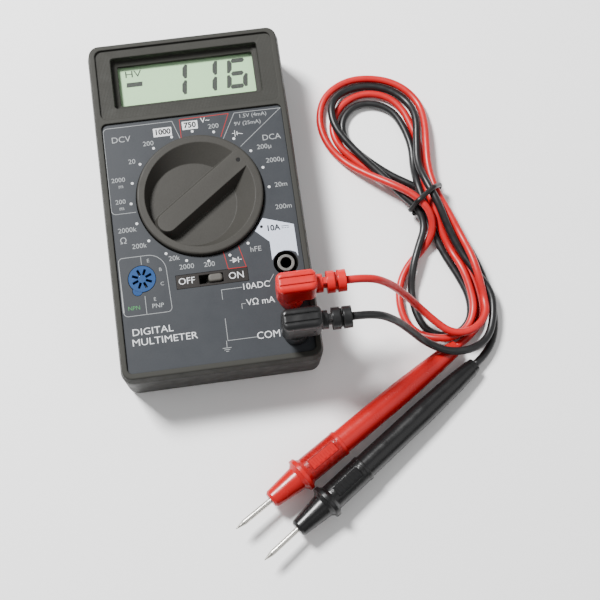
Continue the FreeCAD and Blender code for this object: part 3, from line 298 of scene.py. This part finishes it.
def make_lead_set_plastics():
    """Plastics of the plugs, the leads, the probes and the tie."""
    plugs = {"red": ((0.46, 0.006, 0.007), (0.28, 0.40), 0.2), "black": ((0.007, 0.007, 0.0073), (0.26, 0.40), 0.5)}
    for name, (colour, roughness, wear) in plugs.items():
        moulded(name, colour, roughness, grain=1500.0, soften=0.0006, wear=wear, Specular_IOR_Level=0.35)
        make_handle_plastic(name, colour)
        # Painted shade: the pads take the plug's plastic darkened to 0.8, the same stand-in for the probe's shade
        # as the handle; the matte finish is their own.
        moulded(f"{name}_pad", lighter(colour, 0.8), (0.5, 0.65), grain=1900.0, depth=0.00004, soften=0.0002,
                wear=0.1)
    make_lead_plastic("red_lead", (0.44, 0.006, 0.008))
    make_lead_plastic("black_lead", (0.009, 0.009, 0.0095))
    moulded("tie", (0.006, 0.006, 0.006), (0.3, 0.45), soften=0.0, grain=900.0, depth=0.00008,
            Specular_IOR_Level=0.35)


def make_metals():
    metals = {"nickel": (0.62, 0.60, 0.56), "steel": (0.50, 0.50, 0.50), "copper": (0.70, 0.36, 0.18),
              "silver": (0.66, 0.67, 0.62), "foil": (0.70, 0.70, 0.71)}
    for name, colour in metals.items():
        metal = Surface(name, colour, Metallic=1.0)
        metal.tint(metal.remap(metal.noise(500.0, 5.0), 0.0, 0.5), lighter(colour, 0.72))
        metal.rough(metal.remap(metal.noise(1500.0, 3.0), 0.16, 0.36))
        metal.soften(0.00015)
        metal.bump(metal.noise(1.0, 3.0, place=metal.stretched((3000.0, 3000.0, 400.0))), 0.25, 0.00002)
        MATERIALS[name] = metal


def make_sleeve_metal():
    """Dull dark metal of the jack sleeves."""
    sleeve = Surface("sleeve", (0.13, 0.126, 0.118), Metallic=1.0)
    sleeve.tint(sleeve.remap(sleeve.noise(700.0, 4.0), 0.0, 0.5), (0.09, 0.086, 0.082))
    sleeve.rough(sleeve.remap(sleeve.noise(1500.0, 3.0), 0.34, 0.5))
    sleeve.soften(0.0002)
    MATERIALS["sleeve"] = sleeve


def make_display_glass():
    """Grey-green liquid-crystal glass with a faint mottling."""
    glass = Surface("display", (0.37, 0.60, 0.33), 0.35, Specular_IOR_Level=0.2)
    glass.tint(glass.remap(glass.noise(60.0, 3.0), 0.0, 0.5), (0.39, 0.64, 0.35))
    glass.tint(glass.remap(glass.noise(3000.0, 2.0), 0.0, 0.25), (0.31, 0.52, 0.27))
    glass.rough(glass.remap(glass.noise(400.0), 0.3, 0.42))
    MATERIALS["display"] = glass


def make_clear_parts():
    """Clear window over the display, and the fuse's glass tube."""
    window = Surface("window", (0.30, 0.32, 0.30), 0.06, Alpha=0.05, IOR=1.49)
    window.rough(window.remap(window.noise(300.0, 4.0), 0.04, 0.10))
    MATERIALS["window"] = window
    tube_glass = Surface("tube_glass", (0.85, 0.9, 0.88), 0.05, Alpha=0.35)
    tube_glass.rough(tube_glass.remap(tube_glass.noise(600.0), 0.03, 0.12))
    MATERIALS["tube_glass"] = tube_glass


def make_board_materials():
    """Green board and the plain parts that stand on it or beside it."""
    board = Surface("board", (0.015, 0.10, 0.035), 0.35)
    board.tint(board.remap(board.cells(420.0), 0.0, 0.8, 0.1, 0.4), (0.012, 0.06, 0.025))
    board.rough(board.remap(board.noise(500.0), 0.25, 0.4))
    board.soften(0.0002)
    MATERIALS["board"] = board
    for name, colour in (("resistor", (0.20, 0.35, 0.42)), ("capacitor", (0.03, 0.04, 0.16)),
                         ("epoxy", (0.01, 0.01, 0.01)), ("battery", (0.05, 0.055, 0.07)),
                         ("foam", (0.02, 0.02, 0.02)), ("rubber", (0.02, 0.02, 0.025))):
        moulded(name, colour, (0.35, 0.6), soften=0.0003, depth=0.00004)


def make_inks():
    inks = {"white_ink": (0.56, 0.57, 0.58), "red_ink": (0.34, 0.010, 0.010), "green_ink": (0.05, 0.20, 0.07),
            "dark_ink": (0.004, 0.004, 0.004), "flag_ink": (0.54, 0.59, 0.69), "grey_ink": (0.27, 0.28, 0.285)}
    for name, colour in inks.items():
        ink = Surface(name, colour, Specular_IOR_Level=0.12)
        ink.tint(ink.remap(ink.noise(2500.0, 3.0), 0.0, 0.35), lighter(colour, 0.7))
        ink.rough(ink.remap(ink.noise(900.0), 0.4, 0.6))
        MATERIALS[name] = ink
    segment = Surface("segment", (0.016, 0.020, 0.016), 0.5, Specular_IOR_Level=0.1)
    segment.tint(segment.remap(segment.noise(900.0), 0.0, 0.4), (0.030, 0.036, 0.029))
    MATERIALS["segment"] = segment


make_front_plastic()
make_face_plastics()
make_lead_set_plastics()
make_metals()
make_sleeve_metal()
make_display_glass()
make_clear_parts()
make_board_materials()
make_inks()


def paint(obj, name):
    obj.data.materials.clear()
    obj.data.materials.append(MATERIALS[name].material)


NODE_MATERIALS = {
    "back_cover": "case_back", "front_cover": "case_front", "function_panel": "panel", "lcd_window": "window",
    "lcd_cell": "display", "lcd_reflector": "silver", "lcd_frame": "inner", "zebra_strip": "rubber",
    "selector_knob": "knob", "selector_pointer": "dark_ink", "detent_balls": "steel",
    "detent_springs": "steel", "selector_wipers": "copper", "main_board": "board",
    "selector_tracks": "copper", "chip_dome": "epoxy", "resistors": "resistor", "capacitors": "capacitor",
    "shield_foil": "foil", "shield_spring": "steel", "trimmer_body": "resistor", "trimmer_rotor": "steel",
    "shunt_wire": "copper", "fuse_glass": "tube_glass", "fuse_caps": "nickel", "fuse_element": "steel",
    "fuse_clips": "copper", "battery_9v": "battery", "battery_snap": "inner", "battery_wires": "black_lead",
    "battery_foam": "foam", "switch_body": "inner", "switch_slider": "switch_button",
    "switch_plate": "switch_dark", "switch_pins": "steel", "hfe_socket": "socket", "hfe_core": "socket",
    "hfe_contacts": "steel", "case_screws": "steel", "board_screws": "steel", "jack_10a": "sleeve",
    "jack_vohm": "sleeve", "jack_com": "sleeve", "cord_tie": "inner",
}
for colour in ("red", "black"):
    NODE_MATERIALS.update({f"{colour}_plug": colour, f"{colour}_plug_pin": "nickel",
                           f"{colour}_cord": f"{colour}_lead", f"{colour}_probe_handle": f"{colour}_handle",
                           f"{colour}_probe_grip": f"{colour}_pad", f"{colour}_probe_needle": "nickel"})
for node_name, material_name in NODE_MATERIALS.items():
    paint(NODES[node_name], material_name)


# ---------------------------------------------------------------- mesh helpers
def add_mesh(name, vertices, faces, material, smooth=True):
    mesh = bpy.data.meshes.new(name)
    mesh.from_pydata([Vector(v) for v in vertices], [], faces)
    mesh.validate()
    obj = bpy.data.objects.new(name, mesh)
    bpy.context.collection.objects.link(obj)
    if smooth:
        mesh.shade_smooth()
    paint(obj, material)
    return obj


def sweep(path, radius, sides=16):
    """Vertices and faces of a round tube that follows a path, with closed ends."""
    points = [Vector(p) for p in path]
    ways = [(b - a).normalized() for a, b in zip(points, points[1:])]
    ways = [ways[0]] + [(a + b).normalized() for a, b in zip(ways, ways[1:])] + [ways[-1]]
    side = ways[0].orthogonal().normalized()
    vertices = []
    for point, way in zip(points, ways):
        side = (side - way * side.dot(way)).normalized()
        other = way.cross(side)
        for k in range(sides):
            angle = 2 * math.pi * k / sides
            vertices.append(point + (side * math.cos(angle) + other * math.sin(angle)) * radius)
    faces = []
    for i in range(len(points) - 1):
        for k in range(sides):
            a, b = i * sides + k, i * sides + (k + 1) % sides
            faces.append((a, b, b + sides, a + sides))
    faces.append(tuple(reversed(range(sides))))
    last = (len(points) - 1) * sides
    faces.append(tuple(range(last, last + sides)))
    return vertices, faces


# ---------------------------------------------------------------- test leads
# Control points of each lead, in metres, from its plug to its probe; the same as in the part's source.
RED_ROUTE = [
    (0.0446, -0.0406, 0.0376), (0.0524, -0.0406, 0.0376), (0.0596, -0.0416, 0.0308),
    (0.0654, -0.0428, 0.0198), (0.0708, -0.0453, 0.0106), (0.0773, -0.0523, 0.0079),
    (0.0826, -0.0571, 0.0079), (0.0902, -0.0572, 0.0079), (0.0962, -0.0516, 0.0068),
    (0.0967, -0.0446, 0.0051), (0.0958, -0.0380, 0.0078), (0.0946, -0.0295, 0.0079),
    (0.0927, -0.0208, 0.0048), (0.0897, -0.0115, 0.0052), (0.0861, -0.0018, 0.0055),
    (0.0849, 0.0075, 0.0047), (0.0857, 0.0165, 0.0047), (0.0870, 0.0260, 0.0036), (0.0865, 0.0355, 0.0015),
    (0.0805, 0.0435, 0.0015), (0.0715, 0.0476, 0.0015), (0.0605, 0.0482, 0.0015), (0.0510, 0.0430, 0.0015),
    (0.0473, 0.0335, 0.0015), (0.0488, 0.0235, 0.0015), (0.0545, 0.0150, 0.0015), (0.0620, 0.0080, 0.0048),
    (0.0693, 0.0022, 0.0081), (0.0765, -0.0028, 0.0087), (0.0820, -0.0095, 0.0087),
    (0.0830, -0.0168, 0.0052), (0.0785, -0.0228, 0.0017), (0.0722, -0.0275, 0.0015),
    (0.0676, -0.0345, 0.0015), (0.0662, -0.0425, 0.0015), (0.0676, -0.0498, 0.0015),
    (0.0712, -0.0546, 0.0024), (0.0764, -0.0574, 0.0047), (0.0832, -0.0579, 0.0047),
    (0.0894, -0.0549, 0.0047), (0.0926, -0.0485, 0.0047), (0.0925, -0.0405, 0.0047),
    (0.0910, -0.0325, 0.0047), (0.0884, -0.0250, 0.0020), (0.0860, -0.0175, 0.0034),
    (0.0849, -0.0090, 0.0055), (0.0826, -0.0002, 0.0055), (0.0829, 0.0085, 0.0020),
    (0.0839, 0.0170, 0.0015), (0.0820, 0.0265, 0.0015), (0.0794, 0.0346, 0.0015), (0.0738, 0.0401, 0.0015),
    (0.0653, 0.0420, 0.0015), (0.0567, 0.0386, 0.0015), (0.0519, 0.0310, 0.0015), (0.0526, 0.0228, 0.0015),
    (0.0585, 0.0153, 0.0015), (0.0660, 0.0080, 0.0015), (0.0735, 0.0015, 0.0022), (0.0810, -0.0043, 0.0023),
    (0.0865, -0.0115, 0.0020), (0.0904, -0.0210, 0.0015), (0.0936, -0.0305, 0.0015),
    (0.0954, -0.0400, 0.0015), (0.0957, -0.0476, 0.0015), (0.0936, -0.0540, 0.0015),
    (0.0887, -0.0583, 0.0022), (0.0839, -0.0611, 0.0030)]
BLACK_ROUTE = [
    (0.0446, -0.0533, 0.0376), (0.0524, -0.0533, 0.0376), (0.0596, -0.0545, 0.0306),
    (0.0658, -0.0564, 0.0198), (0.0720, -0.0596, 0.0104), (0.0800, -0.0636, 0.0079),
    (0.0885, -0.0639, 0.0076), (0.0956, -0.0600, 0.0052), (0.0991, -0.0518, 0.0047),
    (0.1000, -0.0430, 0.0047), (0.0954, -0.0344, 0.0047), (0.0912, -0.0260, 0.0047),
    (0.0880, -0.0165, 0.0061), (0.0855, -0.0070, 0.0087), (0.0825, 0.0015, 0.0082),
    (0.0812, 0.0100, 0.0047), (0.0824, 0.0190, 0.0047), (0.0840, 0.0285, 0.0044), (0.0823, 0.0364, 0.0016),
    (0.0758, 0.0426, 0.0015), (0.0668, 0.0452, 0.0015), (0.0575, 0.0434, 0.0022), (0.0523, 0.0375, 0.0047),
    (0.0523, 0.0295, 0.0047), (0.0563, 0.0218, 0.0047), (0.0618, 0.0140, 0.0047), (0.0682, 0.0060, 0.0046),
    (0.0734, -0.0020, 0.0055), (0.0784, -0.0078, 0.0055), (0.0800, -0.0150, 0.0047),
    (0.0763, -0.0223, 0.0047), (0.0730, -0.0298, 0.0044), (0.0712, -0.0380, 0.0015),
    (0.0717, -0.0470, 0.0015), (0.0746, -0.0536, 0.0015), (0.0808, -0.0566, 0.0015),
    (0.0871, -0.0555, 0.0015), (0.0915, -0.0508, 0.0015), (0.0923, -0.0430, 0.0015),
    (0.0896, -0.0345, 0.0015), (0.0856, -0.0255, 0.0015), (0.0832, -0.0170, 0.0018),
    (0.0815, -0.0088, 0.0055), (0.0797, 0.0010, 0.0059), (0.0799, 0.0095, 0.0017), (0.0808, 0.0180, 0.0015),
    (0.0790, 0.0265, 0.0015), (0.0758, 0.0336, 0.0015), (0.0690, 0.0375, 0.0015), (0.0618, 0.0374, 0.0015),
    (0.0567, 0.0331, 0.0015), (0.0553, 0.0266, 0.0015), (0.0586, 0.0200, 0.0015), (0.0642, 0.0137, 0.0015),
    (0.0710, 0.0076, 0.0015), (0.0775, 0.0030, 0.0022), (0.0836, -0.0016, 0.0023),
    (0.0886, -0.0090, 0.0019), (0.0928, -0.0185, 0.0015), (0.0965, -0.0280, 0.0015),
    (0.0989, -0.0380, 0.0015), (0.1002, -0.0480, 0.0015), (0.0992, -0.0570, 0.0015),
    (0.0950, -0.0646, 0.0022), (0.0893, -0.0685, 0.0030)]
LEAD_RADIUS = 1.4 * MM


def spline_points(name, route):
    """Points of the smooth line whose control points are the route."""
    data = bpy.data.curves.new(name, "CURVE")
    data.dimensions = "3D"
    data.resolution_u = 14
    spline = data.splines.new("NURBS")
    spline.points.add(len(route) - 1)
    for point, place in zip(spline.points, route):
        point.co = (*place, 1.0)
    spline.order_u = 3
    spline.use_endpoint_u = True
    line = bpy.data.objects.new(name, data)
    bpy.context.collection.objects.link(line)
    bpy.context.view_layer.update()
    graph = bpy.context.evaluated_depsgraph_get()
    mesh = bpy.data.meshes.new_from_object(line.evaluated_get(graph))
    points = [vertex.co.copy() for vertex in mesh.vertices]
    bpy.data.objects.remove(line)
    bpy.data.meshes.remove(mesh)
    return points


def make_lead(colour, route):
    path = spline_points(f"{colour}_line", route)
    lead = add_mesh(f"{colour}_lead", *sweep(path, LEAD_RADIUS), f"{colour}_lead")
    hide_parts(f"{colour}_cord")
    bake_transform(lead)
    return path


lead_paths = [make_lead("red", RED_ROUTE), make_lead("black", BLACK_ROUTE)]


# ---------------------------------------------------------------- tie round the bundle
TIE_CENTRE = Vector((0.0820, -0.0044, 0.0))
TIE_ACROSS = Vector((0.8, 0.6, 0.0))
TIE_NORMAL = Vector((0.6, -0.8, 0.0))
TIE_STRAND = 0.95 * MM
TIE_BITE = 0.35 * MM     # how far the strand presses into the leads
TIE_DRIFT = 2.2 * MM     # shift along the bundle from the strand's start to its end
TIE_LOWEST = 0.6 * MM
TIE_START = math.radians(228)
TIE_TURNS = 1.12
TIE_STEPS = 96
BUNDLE_REACH = 15 * MM
FLOOR_GAP = 0.03 * MM


def lead_crossings():
    """Where the leads pass through the tie's plane, as distance across the bundle and height."""
    places = []
    for path in lead_paths:
        for here, after in zip(path, path[1:]):
            first, second = (here - TIE_CENTRE).dot(TIE_NORMAL), (after - TIE_CENTRE).dot(TIE_NORMAL)
            hit = here.lerp(after, first / (first - second)) if first * second < 0 else None
            if hit is not None and (hit - TIE_CENTRE).length < BUNDLE_REACH:
                places.append(((hit - TIE_CENTRE).dot(TIE_ACROSS), hit.z))
    return places


def make_tie():
    """Soft black strand wound once round the bundle with overlapping ends, pulled tight on the leads."""
    places = lead_crossings()
    reach = LEAD_RADIUS + TIE_STRAND - TIE_BITE
    loop = []
    for k in range(TIE_STEPS + 1):
        angle = TIE_START - 2 * math.pi * TIE_TURNS * k / TIE_STEPS
        away = (math.cos(angle), math.sin(angle))
        u, z = max(places, key=lambda p: p[0] * away[0] + p[1] * away[1])
        drift = (k / TIE_STEPS - 0.5) * TIE_DRIFT
        loop.append(TIE_CENTRE + TIE_ACROSS * (u + reach * away[0]) + TIE_NORMAL * drift
                    + Vector((0, 0, max(TIE_LOWEST, z + reach * away[1]))))
    for _ in range(3):
        loop = [loop[0]] + [(a + b * 2 + c) / 4 for a, b, c in zip(loop, loop[1:], loop[2:])] + [loop[-1]]
    vertices, faces = sweep(loop, TIE_STRAND, 12)
    tie = add_mesh("lead_tie", [Vector((v.x, v.y, max(v.z, FLOOR_GAP))) for v in vertices], faces, "tie")
    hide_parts("cord_tie")
    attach(tie, "case")


make_tie()


# ---------------------------------------------------------------- printed marks
PRINT_LIFT = 0.03 * MM
DIAL = (-0.4, 0.7)
DIAL_DOTS = 24.5
BOXED_RANGES = (("1000", -11.0, 26.3, 3.3, 1.65), ("750", -1.0, 27.7, 2.8, 1.6))


class Print:
    """Flat marks of one ink at one level, gathered into a single piece; sizes in millimetres."""

    def __init__(self, level):
        self.level = level
        self.vertices = []
        self.faces = []

    def shape(self, points):
        start = len(self.vertices)
        self.vertices += [(x * MM, y * MM, self.level) for x, y in points]
        self.faces.append(tuple(range(start, start + len(points))))

    def disc(self, x, y, radius, sides=20):
        angles = [2 * math.pi * k / sides for k in range(sides)]
        self.shape([(x + radius * math.cos(a), y + radius * math.sin(a)) for a in angles])

    def line(self, points, width=0.18, closed=False):
        """Ribbon of constant width along a polyline, mitred at its corners."""
        path = [Vector(p) for p in points]
        count = len(path)
        left, right = [], []
        for i, here in enumerate(path):
            before = path[i - 1] if i or closed else None
            after = path[(i + 1) % count] if i < count - 1 or closed else None
            ways = []
            if before is not None:
                ways.append((here - before).normalized())
            if after is not None:
                ways.append((after - here).normalized())
            way = sum(ways, Vector((0, 0))).normalized()
            side = Vector((-way.y, way.x))
            reach = width / 2 / max(0.35, side.dot(Vector((-ways[0].y, ways[0].x))))
            left.append(here + side * reach)
            right.append(here - side * reach)
        stops = range(count if closed else count - 1)
        for i in stops:
            j = (i + 1) % count
            self.shape([left[i], right[i], right[j], left[j]])

    def text(self, words, x, y, height, stretch=1.0, weight=0.0):
        """Plain lettering centred at x, y, with capitals of the given height."""
        data = bpy.data.curves.new("words", "FONT")
        data.body = words
        data.size = height / 0.72
        data.align_x = "CENTER"
        data.align_y = "CENTER"
        data.resolution_u = 3
        data.offset = weight
        label = bpy.data.objects.new("words", data)
        bpy.context.collection.objects.link(label)
        bpy.context.view_layer.update()
        mesh = bpy.data.meshes.new_from_object(label.evaluated_get(bpy.context.evaluated_depsgraph_get()))
        start = len(self.vertices)
        self.vertices += [((x + v.co.x * stretch) * MM, (y + v.co.y) * MM, self.level) for v in mesh.vertices]
        self.faces += [tuple(start + k for k in face.vertices) for face in mesh.polygons]
        bpy.data.objects.remove(label)
        bpy.data.meshes.remove(mesh)

    def finish(self, name, ink, body="case"):
        piece = add_mesh(name, self.vertices, self.faces, ink, smooth=False)
        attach(piece, body)
        return piece


def bend(centre, radius, start, end, steps=6):
    """Points along an arc, used for the rounded corners of printed boxes."""
    angles = [math.radians(start + (end - start) * k / steps) for k in range(steps + 1)]
    return [(centre[0] + radius * math.cos(a), centre[1] + radius * math.sin(a)) for a in angles]


def on_dial(step, radius=DIAL_DOTS):
    """Place on the selector's circle, counted clockwise from the top in twentieths of a turn."""
    angle = math.radians(90 - 18 * step)
    return DIAL[0] + radius * math.cos(angle), DIAL[1] + radius * math.sin(angle)


def print_white():
    """Dots of the dial, the main words and the plates behind the two boxed ranges."""
    white = Print(FACE + PRINT_LIFT)
    for step in range(20):
        if step not in (6, 7):
            white.disc(*on_dial(step), 0.5)
    labels = (("V~", 4.6, 28.9, 2.0), ("OFF", -8.8, -30.0, 2.4), ("ON", 8.5, -30.2, 2.5),
              ("10ADC", 14.7, -34.7, 2.3), ("V\u03a9 mA", 15.6, -40.5, 2.3), ("COM", 16.8, -52.7, 2.6))
    for words, x, y, height in labels:
        white.text(words, x, y, height)
    white.text("DIGITAL", -22.4, -46.0, 2.5, 1.1)
    white.text("MULTIMETER", -18.6, -49.6, 2.5, 1.12)
    white.line([(13.6, 22.6), (14.6, 22.4)], 0.2)
    white.line([(14.6, 21.2), (14.6, 23.6)], 0.2)
    white.line([(15.4, 21.7), (15.4, 23.1)], 0.28)
    white.line([(15.4, 22.4), (17.4, 22.0)], 0.2)
    for _, x, y, half_w, half_h in BOXED_RANGES:
        white.shape([(x - half_w, y - half_h), (x + half_w, y - half_h), (x + half_w, y + half_h),
                     (x - half_w, y + half_h)])
    white.finish("white_marks", "white_ink")


def print_grey():
    """Small lettering of the scales, thinner and duller than the main words."""
    grey = Print(FACE + PRINT_LIFT)
    labels = (("200", -16.5, 22.5, 1.8), ("20", -23.0, 16.4, 1.8), ("2000", -28.5, 10.0, 1.7),
              ("m", -27.8, 7.6, 1.6), ("200", -28.5, 1.8, 1.7), ("m", -28.3, -0.6, 1.6),
              ("2000k", -27.3, -8.9, 1.8), ("\u03a9", -29.0, -12.7, 2.3), ("200k", -23.7, -15.2, 1.8),
              ("20k", -12.2, -21.2, 1.8), ("2000", -8.2, -24.8, 1.8), ("200", -0.3, -25.0, 1.8),
              ("hFE", 16.4, -21.6, 1.9), ("200", 7.3, 26.2, 1.8), ("1.5V (4mA)", 21.8, 28.8, 1.5),
              ("9V (25mA)", 19.6, 26.0, 1.5), ("200\u00b5", 24.4, 16.1, 1.8),
              ("2000\u00b5", 27.6, 10.6, 1.8), ("20m", 28.4, 1.1, 1.8), ("200m", 28.2, -7.2, 1.8),
              ("E", -21.3, -20.9, 1.3), ("B", -17.4, -24.6, 1.3), ("C", -17.3, -29.8, 1.3),
              ("E", -20.4, -35.0, 1.3), ("PNP", -19.6, -37.4, 1.6), ("DCV", -26.0, 25.2, 2.3),
              ("DCA", 27.4, 19.4, 2.2))
    for words, x, y, height in labels:
        grey.text(words, x, y, height, 1.05)
    grey.line(bend((-30.5, 28.5), 1.5, 180, 90) + [(-7.2, 30.0), (-5.0, 23.0)])
    grey.line([(-23.5, -2.6)] + bend((-30.5, -1.1), 1.5, 270, 180) + [(-32.0, 28.5)])
    grey.line([(10.3, 21.0), (15.3, 30.3), (32.0, 30.2), (16.0, 17.2)])
    grey.line([(-31.5, -38.5), (-31.5, -20.4)] + bend((-30.0, -20.4), 1.5, 180, 90)[1:]
               + bend((-21.4, -25.0), 6.1, 90, 0, 10) + bend((-16.4, -38.5), 1.5, 0, -90)
               + bend((-30.0, -38.5), 1.5, -90, -180), closed=True)
    grey.line([(-23.7, -18.9), (-23.7, -22.0)])
    grey.line([(-23.7, -33.4), (-23.7, -40.0)])
    grey.line([(9.9, -34.7), (2.7, -34.7), (2.7, -38.2)])
    grey.line([(10.4, -40.6), (9.0, -40.6), (9.0, -42.4)])
    grey.line([(2.2, -52.9), (2.1, -55.4)], 0.2)
    for half, y in ((1.5, -55.4), (1.0, -56.0), (0.5, -56.6)):
        grey.line([(2.1 - half, y), (2.1 + half, y)], 0.2)
    grey.line([(2.7, -45.0), (2.7, -52.9), (12.8, -52.9)])
    grey.line([(19.4, -34.2), (21.4, -31.4)])
    grey.finish("grey_marks", "grey_ink")


def print_colours():
    """Red outlines, green word, pale flag of the 10 A jack, and what is printed dark or white over them."""
    red = Print(FACE + PRINT_LIFT)
    red.line([(-4.6, 22.2), (-4.5, 30.3), (13.2, 30.4), (9.5, 21.8)], 0.2)
    red.line([(5.0, -20.8), (6.0, -27.5), (12.3, -27.5), (10.5, -19.5)], 0.2)
    red.finish("red_marks", "red_ink")
    green = Print(FACE + PRINT_LIFT)
    green.text("NPN", -27.8, -37.3, 1.5)
    green.finish("green_marks", "green_ink")
    flag = Print(FACE + PRINT_LIFT * 0.5)
    flag.shape([(17.0, -15.0), (20.2, -10.6), (30.8, -14.2), (30.8, -26.0), (30.2, -24.4), (28.4, -23.6),
                (26.2, -23.3), (24.0, -23.8), (22.2, -25.4), (21.6, -26.4), (21.6, -19.5)])
    flag.finish("flag_mark", "flag_ink")
    dark = Print(FACE + PRINT_LIFT * 1.5)
    dark.disc(*on_dial(7), 0.55)
    dark.text("10A", 23.4, -14.7, 2.1, weight=0.09)
    dark.line([(26.4, -14.4), (29.0, -14.4)], 0.22)
    for start, end in ((26.4, 27.1), (27.4, 28.0), (28.3, 29.0)):
        dark.line([(start, -15.1), (end, -15.1)], 0.22)
    for words, x, y, _, _ in BOXED_RANGES:
        dark.text(words, x, y, 2.1, weight=0.09)
    dark.finish("dark_marks", "dark_ink")
    diode = Print(FACE + PRINT_LIFT * 2)
    diode.shape([(7.9, -25.6), (7.9, -23.6), (9.9, -24.6)])
    diode.line([(9.9, -25.6), (9.9, -23.6)], 0.3)
    diode.line([(6.9, -24.6), (11.1, -24.6)], 0.22)
    diode.finish("diode_mark", "white_ink")


# ---------------------------------------------------------------- reading on the display
SEGMENT_SLANT = 0.12


def make_reading():
    """Dark seven-segment figures on top of the display glass."""
    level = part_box("lcd_cell")[1][2] + 0.03 * MM
    reading = Print(level)
    base, height, bar = 42.2, 12.0, 1.75

    def slanted(points):
        return [(x + SEGMENT_SLANT * (y - base), y) for x, y in points]

    def upright(x, low, high, outer):
        """Vertical segment; outer is -1 or 1, the side with the longer edge."""
        cut = bar * 0.5
        left_cut, right_cut = (0.25, cut * 1.6) if outer < 0 else (cut * 1.6, 0.25)
        reading.shape(slanted([(x - bar / 2, low + left_cut), (x, low), (x + bar / 2, low + right_cut),
                               (x + bar / 2, high - right_cut), (x, high), (x - bar / 2, high - left_cut)]))

    def level_bar(x0, x1, y):
        reading.shape(slanted([(x0, y - bar / 2), (x1, y - bar / 2), (x1 + bar * 0.35, y), (x1, y + bar / 2),
                               (x0, y + bar / 2), (x0 - bar * 0.35, y)]))

    middle = base + height / 2
    for x in (-1.5, 9.6):
        upright(x, base, middle - 0.3, 1)
        upright(x, middle + 0.3, base + height, 1)
    left, right = 15.0, 20.9
    upright(left, base + 0.4, middle - 0.3, -1)
    upright(left, middle + 0.3, base + height - 0.4, -1)
    upright(right, base + 0.4, middle - 0.3, 1)
    level_bar(left + 1.2, right - 1.2, middle)
    level_bar(left + 1.0, right - 1.0, base + bar / 2)
    level_bar(left + 1.0, right - 1.0, base + height - bar / 2)
    reading.shape([(-22.2, 47.6), (-16.4, 47.6), (-16.2, 49.4), (-22.0, 49.4)])
    reading.text("HV", -19.4, 52.6, 2.7, 1.25)
    reading.finish("display_figures", "segment")


print_white()
print_grey()
print_colours()
make_reading()


# ---------------------------------------------------------------- floor and light
STAGE_HALF = 1.5
STAGE_GAP = 0.02 * MM
LIGHT_AIM = (0.03, -0.03, 0.0)
SKY_STRENGTH = 0.45
# Place, width and power of each lamp; metres and watts.
LAMPS = {"key": ((-0.40, 0.45, 0.86), 0.24, 31.0), "fill": ((0.6, -0.3, 0.7), 0.7, 1.5)}


def make_stage():
    """Plain pale floor, just under the object's lowest point."""
    half, low = STAGE_HALF, cad_box[0][2] - STAGE_GAP
    corners = [(-half, -half, low), (half, -half, low), (half, half, low), (-half, half, low)]
    paper = Surface("paper", (0.93, 0.93, 0.93), 0.9, Specular_IOR_Level=0.2)
    paper.tint(paper.remap(paper.noise(30.0), 0.0, 0.3), (0.91, 0.91, 0.91))
    MATERIALS["paper"] = paper
    add_mesh("floor", corners, [(0, 1, 2, 3)], "paper", smooth=False)


def make_lamp(name, place, size, power):
    data = bpy.data.lights.new(name, "AREA")
    data.size = size
    data.energy = power
    lamp = bpy.data.objects.new(name, data)
    lamp.location = place
    lamp.rotation_euler = (Vector(LIGHT_AIM) - Vector(place)).to_track_quat("-Z", "Y").to_euler()
    bpy.context.collection.objects.link(lamp)


def make_light():
    """Even white sky, a key lamp from the upper left behind and a weak fill from the right."""
    world = bpy.data.worlds.new("studio")
    world.use_nodes = True
    world.node_tree.nodes["Background"].inputs["Color"].default_value = (1.0, 1.0, 1.0, 1)
    world.node_tree.nodes["Background"].inputs["Strength"].default_value = SKY_STRENGTH
    bpy.context.scene.world = world
    for name, (place, size, power) in LAMPS.items():
        make_lamp(name, place, size, power)


make_stage()
make_light()
